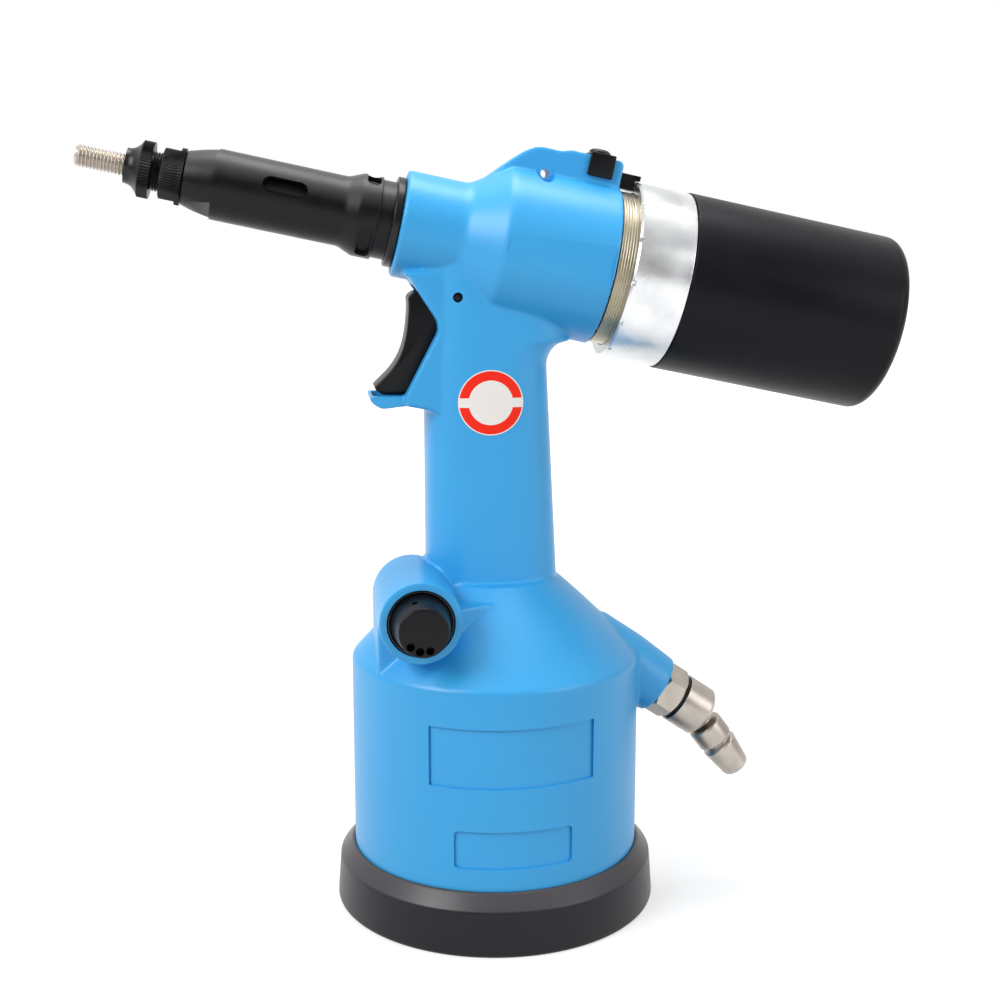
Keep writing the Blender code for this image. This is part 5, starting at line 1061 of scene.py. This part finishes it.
def make_swivel(back):
    front = back + SWIVEL_LENGTH
    cup_r = BALL_R + GAP
    lip_s = BALL_CENTRE + BALL_R / 2
    lip_r = math.sqrt(BALL_R ** 2 - (BALL_R / 2) ** 2) + GAP
    swivel = [(back, cup_r), (back, SWIVEL_R, SWIVEL_BACK_ROUND),
              (front - SWIVEL_CHAMFER, SWIVEL_R, FINE_ROUND),
              (front, SWIVEL_R - SWIVEL_CHAMFER, FINE_ROUND), (front, BALL_R + 2 * GAP), (lip_s, lip_r),
              (BALL_CENTRE + BALL_R / 4, cup_r)]
    dress(lathe("swivel_fine", swivel, INLET), "swivel", "nickel", "swivel_body")


def make_nipple():
    neck_angle = math.asin(NIPPLE_NECK_R / BALL_R)
    back_angle = math.pi - math.acos(BALL_BACK / BALL_R)
    nipple = [(-BALL_BACK, NIPPLE_BORE_R)]
    for i in range(BALL_STEPS + 1):
        angle = back_angle + (neck_angle - back_angle) * i / BALL_STEPS
        nipple.append((BALL_R * math.cos(angle), BALL_R * math.sin(angle)))
    collar_back, collar_front = NIPPLE_COLLAR_S
    nipple += [(collar_back - NIPPLE_EDGE, NIPPLE_NECK_R, EDGE_ROUND),
               (collar_back, NIPPLE_COLLAR_R, NIPPLE_EDGE),
               (collar_front - NIPPLE_EDGE, NIPPLE_COLLAR_R, EDGE_ROUND),
               (collar_front, NIPPLE_GROOVE_R, FINE_ROUND),
               (NIPPLE_HEAD_S - NIPPLE_EDGE, NIPPLE_GROOVE_R, FINE_ROUND),
               (NIPPLE_HEAD_S, NIPPLE_COLLAR_R, EDGE_ROUND),
               (NIPPLE_TIP_S - NIPPLE_EDGE, NIPPLE_TIP_R, NIPPLE_EDGE),
               (NIPPLE_TIP_S, NIPPLE_TIP_R - NIPPLE_EDGE, CRISP_ROUND), (NIPPLE_TIP_S, NIPPLE_BORE_R)]
    dress(lathe("nipple_fine", nipple, NIPPLE), "plug", "nickel", "air_nipple")


def make_inlet_pieces():
    hex_end = GAP + HEX_LENGTH
    make_bushing(hex_end)
    seal_start = hex_end + GAP
    seal_end = hex_end + GAP + INLET_SEAL_THICK
    seal_r = SWIVEL_R - 2 * GAP
    seal = [(seal_start, seal_r, CRISP_ROUND), (seal_end, seal_r, CRISP_ROUND), (seal_end, BALL_R + GAP),
            (seal_start, BALL_R + GAP)]
    dress(lathe("inlet_seal_fine", seal, INLET), "housing", "black_rubber", "inlet_seal")
    make_swivel(seal_end + GAP)
    make_nipple()


# Barrel, nose and mandrel
def obround(length, width):
    """A slot outline with round ends."""
    reach = (length - width) / 2
    right = arc((reach, 0.0), width / 2, -90, 90, ARC_STEPS)
    return right + arc((-reach, 0.0), width / 2, 90, 270, ARC_STEPS)


def sleeve_slot(name, outline, half_depth, s_middle, angle, distance, turn):
    """A slot cutter in the nose, at an angle above the -Y side; turn lays it along or across the sleeve."""
    at = (Matrix.Translation((0.0, 0.0, s_middle)) @ Matrix.Rotation(-angle, 4, 'Z')
          @ Matrix.Translation((0.0, -distance, 0.0)) @ Matrix.Rotation(turn, 4, 'Y'))
    return prism(name, outline, half_depth, BARREL @ at)


def make_sleeve(bore_r):
    sleeve = [(SLEEVE_FRONT_S, bore_r), (SLEEVE_FRONT_S, SLEEVE_FRONT_R, SMALL_ROUND),
              (SLEEVE_CONE_END_S, SLEEVE_R, SOFT_ROUND), (SLEEVE_TAPER_S[0], SLEEVE_R, SOFT_ROUND),
              (SLEEVE_TAPER_S[1], COLLAR_R, COLLAR_ROUND), (COLLAR_END_S, COLLAR_R, SMALL_ROUND),
              (COLLAR_END_S, SHANK_R), (SHANK_END_S, SHANK_R), (SHANK_END_S, SLEEVE_BORE_R),
              (SLEEVE_LIP_S, SLEEVE_BORE_R), (SLEEVE_LIP_S, bore_r)]
    nose_sleeve = lathe("nose_sleeve_fine", sleeve, BARREL)
    window = obround(WINDOW_LENGTH, WINDOW_WIDTH)
    cutters = [sleeve_slot("window", window, SLEEVE_R, WINDOW_S, WINDOW_ANGLE, SLEEVE_R, -math.pi / 2)]
    flat_length = 2 * (SLEEVE_CONE_END_S - SLEEVE_FRONT_S)
    for side, turn in SIDES:
        cutters.append(radial_block("flat_" + side, SLEEVE_FRONT_S, FLAT_ANGLE + turn, FLAT_DISTANCE,
                                    flat_length, 2 * SLEEVE_R, SLEEVE_R))
    slot_s = (SLEEVE_TAPER_S[1] + COLLAR_END_S) / 2
    slot = obround(SPANNER_SLOT_WIDTH, SPANNER_SLOT_LENGTH)
    for angle in SPANNER_SLOT_ANGLES:
        cutters.append(sleeve_slot("spanner_slot_%d" % angle, slot, SPANNER_SLOT_DEPTH, slot_s,
                                   math.radians(angle), COLLAR_R, 0.0))
    combine(nose_sleeve, cutters)
    dress(nose_sleeve, "housing", "black_oxide_steel", "nose_sleeve", material=NOSE_OXIDE)


def make_nosepiece():
    flange_front, flange_back = NOSE_FLANGE_S
    hole_r = MANDREL_R + GAP
    nose = [(NOSE_FRONT_S, hole_r)]
    for i in range(NOSE_FLARE_STEPS):
        t = i / NOSE_FLARE_STEPS
        nose.append((NOSE_FRONT_S + (flange_front - NOSE_FRONT_S) * t,
                     NOSE_FRONT_R + (NOSE_FLANGE_R - NOSE_FRONT_R) * t ** NOSE_FLARE_POWER))
    nose += [(flange_front, NOSE_FLANGE_R), (flange_back, NOSE_FLANGE_R),
             (flange_back, NOSE_THREAD_R - NOSE_THREAD_DEPTH)]
    nose += fine_steps((flange_back + GAP, NOSE_THREAD_END_S), NOSE_THREAD_R, NOSE_PITCH / THREAD_STEPS)
    nose.append((NOSE_THREAD_END_S, hole_r))
    cut_thread = helix(NOSE_PITCH, NOSE_THREAD_DEPTH, NOSE_THREAD_R, (flange_back, NOSE_THREAD_END_S))
    cut_knurl = knurl(NOSE_FLANGE_R)

    def nose_dent(along, radius, angle):
        return cut_knurl(along, cut_thread(along, radius, angle), angle)

    fine = lathe("nosepiece_fine", nose, BARREL, KNURLS * KNURL_FACETS, nose_dent)
    dress(fine, "nose", "black_oxide_steel", "nosepiece")


def make_nose_pieces():
    bore_r = NOSE_THREAD_R + GAP
    make_sleeve(bore_r)
    ring_end = BARREL_FRONT_S - GAP
    ring_start = ring_end - LOCK_RING_THICK
    ring = [(ring_start, SHANK_R + GAP), (ring_start, LOCK_RING_R, SMALL_ROUND),
            (ring_end, LOCK_RING_R, FINE_ROUND), (ring_end, SHANK_R + GAP)]
    dress(lathe("lock_ring_fine", ring, BARREL), "housing", "black_oxide_steel", "sleeve_lock_ring")
    make_nosepiece()
    nut_end = SLEEVE_FRONT_S - GAP
    nut = [(NUT_FRONT_S, bore_r), (NUT_FRONT_S, NUT_FRONT_R - KNURL_DEPTH), (NUT_FRONT_S + GAP, NUT_FRONT_R),
           (NUT_RIM_S, NUT_FRONT_R), (NUT_RIM_S, NUT_RIM_R), (nut_end, NUT_RIM_R), (nut_end, bore_r)]
    fine = lathe("lock_nut_fine", nut, BARREL, KNURLS * KNURL_FACETS, knurl(NUT_FRONT_R, NUT_RIM_R))
    dress(fine, "nose_nut", "black_oxide_steel", "lock_nut")


def make_mandrel():
    head_end = MANDREL_HEAD_S + MANDREL_HEAD_LENGTH
    span = (MANDREL_TIP_S + MANDREL_CHAMFER, SLEEVE_FRONT_S)
    profile = [(MANDREL_TIP_S, 0.0), (MANDREL_TIP_S, MANDREL_R - MANDREL_CHAMFER)]
    profile += fine_steps(span, MANDREL_R, MANDREL_PITCH / THREAD_STEPS)
    profile += [(MANDREL_HEAD_S, MANDREL_R - MANDREL_THREAD_DEPTH / 2), (MANDREL_HEAD_S, MANDREL_HEAD_R),
                (head_end, MANDREL_HEAD_R), (head_end, 0.0)]
    groove = helix(MANDREL_PITCH, MANDREL_THREAD_DEPTH, MANDREL_R, span)
    mandrel = lathe("mandrel_fine", profile, BARREL, MANDREL_FACETS, groove)
    dress(mandrel, "spindle", "nickel", "mandrel", material=MANDREL_NICKEL)


def make_oil_cylinder():
    seat = OIL_SEAT_S + GAP
    thread_start = BARREL_REAR_S + GAP
    cylinder = [(seat, SHANK_R + GAP), (seat, OIL_NECK_R), (OIL_NECK_END_S, OIL_NECK_R),
                (OIL_BODY_S, OIL_BODY_R), (thread_start, OIL_BODY_R)]
    cylinder += fine_steps((thread_start, OIL_REAR_S), OIL_THREAD_R, OIL_PITCH / THREAD_STEPS)
    cylinder += [(OIL_REAR_S, OIL_BORE_R), (OIL_BORE_S, OIL_BORE_R), (OIL_BORE_S, ROD_R + GAP),
                 (OIL_SOCKET_END_S, ROD_R + GAP), (OIL_SOCKET_END_S, SHANK_R + GAP)]
    groove = helix(OIL_PITCH, OIL_THREAD_DEPTH, OIL_THREAD_R, (thread_start, OIL_REAR_S))
    fine = lathe("oil_cylinder_fine", cylinder, BARREL, REAR_FACETS, groove)
    dress(fine, "housing", "thread_steel", "oil_cylinder")


def make_adjust_sleeve():
    thread_r = OIL_THREAD_R + GAP
    notch_end = ADJUST_FRONT_S + ADJUST_NOTCH_LENGTH
    sleeve = [(ADJUST_FRONT_S, thread_r), (ADJUST_FRONT_S, ADJUST_R - ADJUST_CHAMFER),
              (ADJUST_FRONT_S + ADJUST_CHAMFER, ADJUST_R), (notch_end, ADJUST_R),
              (notch_end + ADJUST_NOTCH_STEP, ADJUST_R), (ADJUST_STEP_S, ADJUST_R, FINE_ROUND),
              (ADJUST_STEP_S, SLEEVE_COVERED_R), (ADJUST_REAR_S, SLEEVE_COVERED_R),
              (ADJUST_REAR_S, ADJUST_BORE_R), (ADJUST_THREAD_END_S, ADJUST_BORE_R),
              (ADJUST_THREAD_END_S, thread_r)]

    def notches(along, radius, angle):
        if along > notch_end + TOLERANCE or radius < ADJUST_R - 2 * ADJUST_CHAMFER:
            return radius
        step = 2 * math.pi / ADJUST_NOTCHES
        off = abs((angle + step / 2) % step - step / 2) * ADJUST_R
        return min(radius, ADJUST_R - ADJUST_NOTCH_DEPTH) if off < ADJUST_NOTCH_WIDTH / 2 else radius

    fine = lathe("adjust_sleeve_fine", sleeve, BARREL, ADJUST_NOTCHES * ADJUST_NOTCH_FACETS, notches)
    dress(fine, "adjuster", "aluminium", "adjust_sleeve")


def make_rear_cover():
    front = ADJUST_STEP_S + GAP
    inner_r = COVER_R - COVER_WALL
    inner_end = ADJUST_REAR_S + GAP
    hollow_r = ADJUST_BORE_R - COVER_END_WALL
    hollow_end = COVER_REAR_S - COVER_END_WALL
    outer_r = COVER_R - COVER_INSET
    rear = COVER_REAR_S - COVER_INSET
    centre = (outer_r - COVER_EDGE_ROUND, rear - COVER_EDGE_ROUND)
    edge = [(s, r) for r, s in arc(centre, COVER_EDGE_ROUND, 0, 90, ARC_STEPS)]
    cover = [(hollow_end, 0.0), (hollow_end, hollow_r), (inner_end, hollow_r), (inner_end, inner_r),
             (front, inner_r), (front, outer_r, EDGE_ROUND), *edge, (rear, 0.0)]
    fine = lathe("rear_cover_fine", cover, BARREL, REAR_FACETS)
    dress(fine, "adjuster", "black_rubber", "rear_cover", material=COVER_RUBBER)


# Trigger and latch
def trigger_outline():
    outline = [(TRIGGER_PIN_X + x, TRIGGER_PIN_Z + h) for x, h in zip(TRIGGER_FRONT_X, TRIGGER_FRONT_H)]
    outline += [(TRIGGER_TAIL_X + x, TRIGGER_TAIL_Z + h) for x, h in zip(TRIGGER_TOE_X, TRIGGER_TOE_H)]
    outline += [(TRIGGER_PIN_X + TRIGGER_HEEL_X, TRIGGER_TAIL_Z + TRIGGER_HEEL_H),
                (TRIGGER_BACK_X, TRIGGER_TAIL_Z + TRIGGER_BACK_H),
                (TRIGGER_BACK_X, TRIGGER_PIN_Z - TRIGGER_NECK)]
    points = [(x, z, back) for (x, z), back in zip(outline, TRIGGER_ROUNDS)]
    eye = arc((TRIGGER_PIN_X, TRIGGER_PIN_Z), TRIGGER_EYE_R, *TRIGGER_EYE_ANGLES, TRIGGER_EYE_STEPS)
    return soften(points + eye)


def make_trigger_pieces():
    trigger = prism("trigger_fine", trigger_outline(), TRIGGER_HALF_WIDTH, BASE)
    bevel(trigger, TRIGGER_BEVEL, TRIGGER_BEVEL_ANGLE)
    low = (PILOT_BUSH_FRONT_X - TRIGGER_WALL + GAP, -TRIGGER_POCKET_HALF_WIDTH,
           TRIGGER_PIN_Z - 2 * TRIGGER_TAIL_DROP)
    high = (TRIGGER_PIN_X + 2 * TRIGGER_EYE_R, TRIGGER_POCKET_HALF_WIDTH, PILOT_Z + 3 * PILOT_BUSH_R)
    reach = 2 * TRIGGER_HALF_WIDTH
    hole = rod("trigger_hole", (-reach, reach), TRIGGER_PIN_R + GAP, PIN, HOLE_FACETS)
    combine(trigger, [block("trigger_pocket", low, high, BASE), hole])
    dress(trigger, "trigger_lever", "black_plastic", "trigger")
    end = BLOCK_HALF_WIDTH
    pin = [(-end, 0.0), (-end, TRIGGER_PIN_R, FINE_ROUND), (end, TRIGGER_PIN_R, FINE_ROUND), (end, 0.0)]
    dress(lathe("trigger_pin_fine", pin, PIN, HOLE_FACETS), "housing", "black_oxide_steel", "trigger_pin")


def make_latch_pieces():
    drop = BARREL @ Matrix.Translation((0.0, 0.0, SCREW_S)) @ Matrix.Rotation(-math.pi / 2, 4, 'Y')
    screw_end = BOLT_H[1] - SCREW_DEPTH
    bolt = barrel_block("latch_bolt_fine", BOLT_S, BOLT_H, BOLT_HALF_WIDTH)
    tip = (SCREW_S, BOLT_S[1] + BOLT_TIP_LENGTH)
    combine(bolt, [barrel_block("bolt_tip", tip, (ADJUST_R + GAP, BOLT_H[1]), BOLT_HALF_WIDTH)], 'UNION')
    bevel(bolt, BOLT_BEVEL)
    combine(bolt, [rod("bolt_hole", (screw_end - GAP, FIN_TOP_H), SCREW_R + GAP, drop, HOLE_FACETS)])
    dress(bolt, "latch", "black_plastic", "latch_bolt")
    inner = FIN_HALF_WIDTH + GAP
    clip = barrel_block("latch_clip_fine", CLIP_S, (CLIP_BOTTOM_H, CLIP_TOP_H), inner + CLIP_SIDE)
    gap_s = (CLIP_S[0] - CUT_PAST, CLIP_S[1] + CUT_PAST)
    combine(clip, [barrel_block("clip_gap", gap_s, (CLIP_BOTTOM_H - CUT_PAST, FIN_TOP_H + GAP), inner)])
    bevel(clip, CLIP_BEVEL)
    hole_span = (FIN_TOP_H - CUT_PAST, CLIP_TOP_H + CUT_PAST)
    combine(clip, [rod("clip_hole", hole_span, SCREW_R + GAP, drop, HOLE_FACETS)])
    dress(clip, "latch", "black_plastic", "latch_clip")
    head = CLIP_TOP_H + GAP
    top = head + SCREW_HEAD_HEIGHT
    screw = [(screw_end, 0.0), (screw_end, SCREW_R), (head, SCREW_R), (head, SCREW_HEAD_R),
             (head + SCREW_HEAD_HEIGHT / 3, SCREW_HEAD_R, CRISP_ROUND),
             (top, SCREW_HEAD_R * SCREW_DOME_SHARE, SOFT_ROUND), (top, 0.0)]
    dress(lathe("latch_screw_fine", screw, drop, SCREW_FACETS), "latch", "black_oxide_steel", "latch_screw")


# Round label on the grip
def make_sticker(shell):
    shape = bmesh.new()
    grid = []
    for i in range(STICKER_RINGS + 1):
        reach = STICKER_R * i / STICKER_RINGS
        ring = []
        for k in range(FACETS if i else 1):
            angle = 2 * math.pi * k / FACETS
            x = STICKER_X + reach * math.cos(angle)
            z = STICKER_Z + reach * math.sin(angle)
            hit = shell.ray_cast(Vector((x, STICKER_RAY_Y, z)), Vector((0.0, 1.0, 0.0)))
            point, normal = hit[1:3]
            ring.append(shape.verts.new(point + normal * STICKER_LIFT))
        grid.append(ring)
    for inner, outer in zip(grid, grid[1:]):
        for k in range(FACETS):
            n = (k + 1) % FACETS
            corners = [inner[k % len(inner)], outer[k], outer[n], inner[n % len(inner)]]
            shape.faces.new(list(dict.fromkeys(corners)))
    label = finished("round_label", shape)
    thick = label.modifiers.new("thick", 'SOLIDIFY')
    thick.thickness = STICKER_LIFT
    thick.offset = 0.0
    settle(label)
    dress(label, "housing", "blue_plastic", material=sticker_material())


housing_shell = make_housing()
make_boot()
make_valve_pieces()
make_inlet_pieces()
make_nose_pieces()
make_mandrel()
make_oil_cylinder()
make_adjust_sleeve()
make_rear_cover()
make_trigger_pieces()
make_latch_pieces()
make_sticker(housing_shell)


# Springs: each stands for its solid, as a steel copy held still on the housing
def make_springs():
    for joint in frame["record"]["behaviour"]["joints"]:
        for soft in joint.get("deforming_nodes", []):
            solid = nodes[soft["node"]]
            mesh = solid.data.copy()
            mesh.transform(solid.matrix_world)
            spring = bpy.data.objects.new(soft["node"] + "_coil", mesh)
            bpy.context.scene.collection.objects.link(spring)
            dress(spring, "housing", "bright_steel", soft["node"])
            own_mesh(spring)


make_springs()


# Studio: pale floor, white surroundings and soft lamps
def seen_or_mirrored(tree, path):
    """A node that is one for rays from the camera, a mirror or glass, and zero for light on the object."""
    mirrored = node(tree, 'ShaderNodeMath', operation='MAXIMUM')
    seen = node(tree, 'ShaderNodeMath', operation='MAXIMUM')
    wire(tree, (path, "Is Glossy Ray", mirrored, 0), (path, "Is Transmission Ray", mirrored, 1),
         (path, "Is Camera Ray", seen, 0), (mirrored, "Value", seen, 1))
    return seen


def make_world():
    """White surroundings; mirrored, they fade to a dim room on the near side, as in a studio."""
    world = bpy.data.worlds.new("studio")
    bpy.context.scene.world = world
    world.use_nodes = True
    tree = world.node_tree
    soft = tree.nodes["Background"]
    soft.inputs["Color"].default_value = WHITE
    soft.inputs["Strength"].default_value = WORLD_LIGHT
    white = node(tree, 'ShaderNodeBackground', {"Color": WHITE})
    place = node(tree, 'ShaderNodeTexCoord')
    away = node(tree, 'ShaderNodeVectorMath', {1: Vector(BRIGHT_SIDE).normalized()}, operation='DOT_PRODUCT')
    room = map_range(tree, ROOM_SPAN, ROOM_DIM)
    level = node(tree, 'ShaderNodeMath', operation='MAXIMUM')
    choose = node(tree, 'ShaderNodeMixShader')
    path = node(tree, 'ShaderNodeLightPath')
    seen = seen_or_mirrored(tree, path)
    wire(tree, (place, "Generated", away, 0), (away, "Value", room, "Value"), (room, "Result", level, 0),
         (path, "Is Camera Ray", level, 1), (level, "Value", white, "Strength"),
         (seen, "Value", choose, "Fac"), (soft, "Background", choose, 1), (white, "Background", choose, 2),
         (choose, "Shader", tree.nodes["World Output"], "Surface"))


def make_floor():
    """Pale floor whose glow rises to white away from the object, so that only its shadow shows."""
    shape = bmesh.new()
    bmesh.ops.create_grid(shape, x_segments=1, y_segments=1, size=FLOOR_SIZE)
    floor = finished("studio_floor", shape)
    material = bpy.data.materials.new("studio_white")
    material.use_nodes = True
    tree = material.node_tree
    tree.nodes.remove(tree.nodes["Principled BSDF"])
    matte = node(tree, 'ShaderNodeBsdfDiffuse', {"Color": (FLOOR_GREY, FLOOR_GREY, FLOOR_GREY, 1.0)})
    glow = node(tree, 'ShaderNodeEmission')
    place = node(tree, 'ShaderNodeTexCoord')
    reach = node(tree, 'ShaderNodeVectorMath', operation='LENGTH')
    rise = map_range(tree, FLOOR_GLOW_REACH, FLOOR_GLOW)
    scale = node(tree, 'ShaderNodeMath', operation='MULTIPLY')
    both = node(tree, 'ShaderNodeAddShader')
    seen = seen_or_mirrored(tree, node(tree, 'ShaderNodeLightPath'))
    wire(tree, (place, "Object", reach, 0), (reach, "Value", rise, "Value"), (rise, "Result", scale, 0),
         (seen, "Value", scale, 1), (scale, "Value", glow, "Strength"), (matte, "BSDF", both, 0),
         (glow, "Emission", both, 1), (both, "Shader", tree.nodes["Material Output"], "Surface"))
    floor.data.materials.append(material)


def stand(name, data, at, aim):
    """Put a lamp or the camera at a place, turned to a point."""
    obj = bpy.data.objects.new(name, data)
    obj.location = at
    obj.rotation_euler = (Vector(aim) - Vector(at)).to_track_quat('-Z', 'Y').to_euler()
    bpy.context.scene.collection.objects.link(obj)
    return obj


def make_lamp(name, at, aim, size, power):
    data = bpy.data.lights.new(name, 'AREA')
    data.shape = 'RECTANGLE'
    data.size, data.size_y = size
    data.energy = power
    stand(name, data, at, aim)


def make_camera():
    data = bpy.data.cameras.new("camera")
    data.lens = CAMERA_LENS
    data.sensor_width = CAMERA_SENSOR
    data.sensor_fit = 'HORIZONTAL'
    bpy.context.scene.camera = stand("camera", data, CAMERA_AT, CAMERA_AIM)
    bpy.context.scene.view_settings.view_transform = 'Standard'


make_world()
make_floor()
for lamp in LAMPS:
    make_lamp(*lamp)
make_camera()
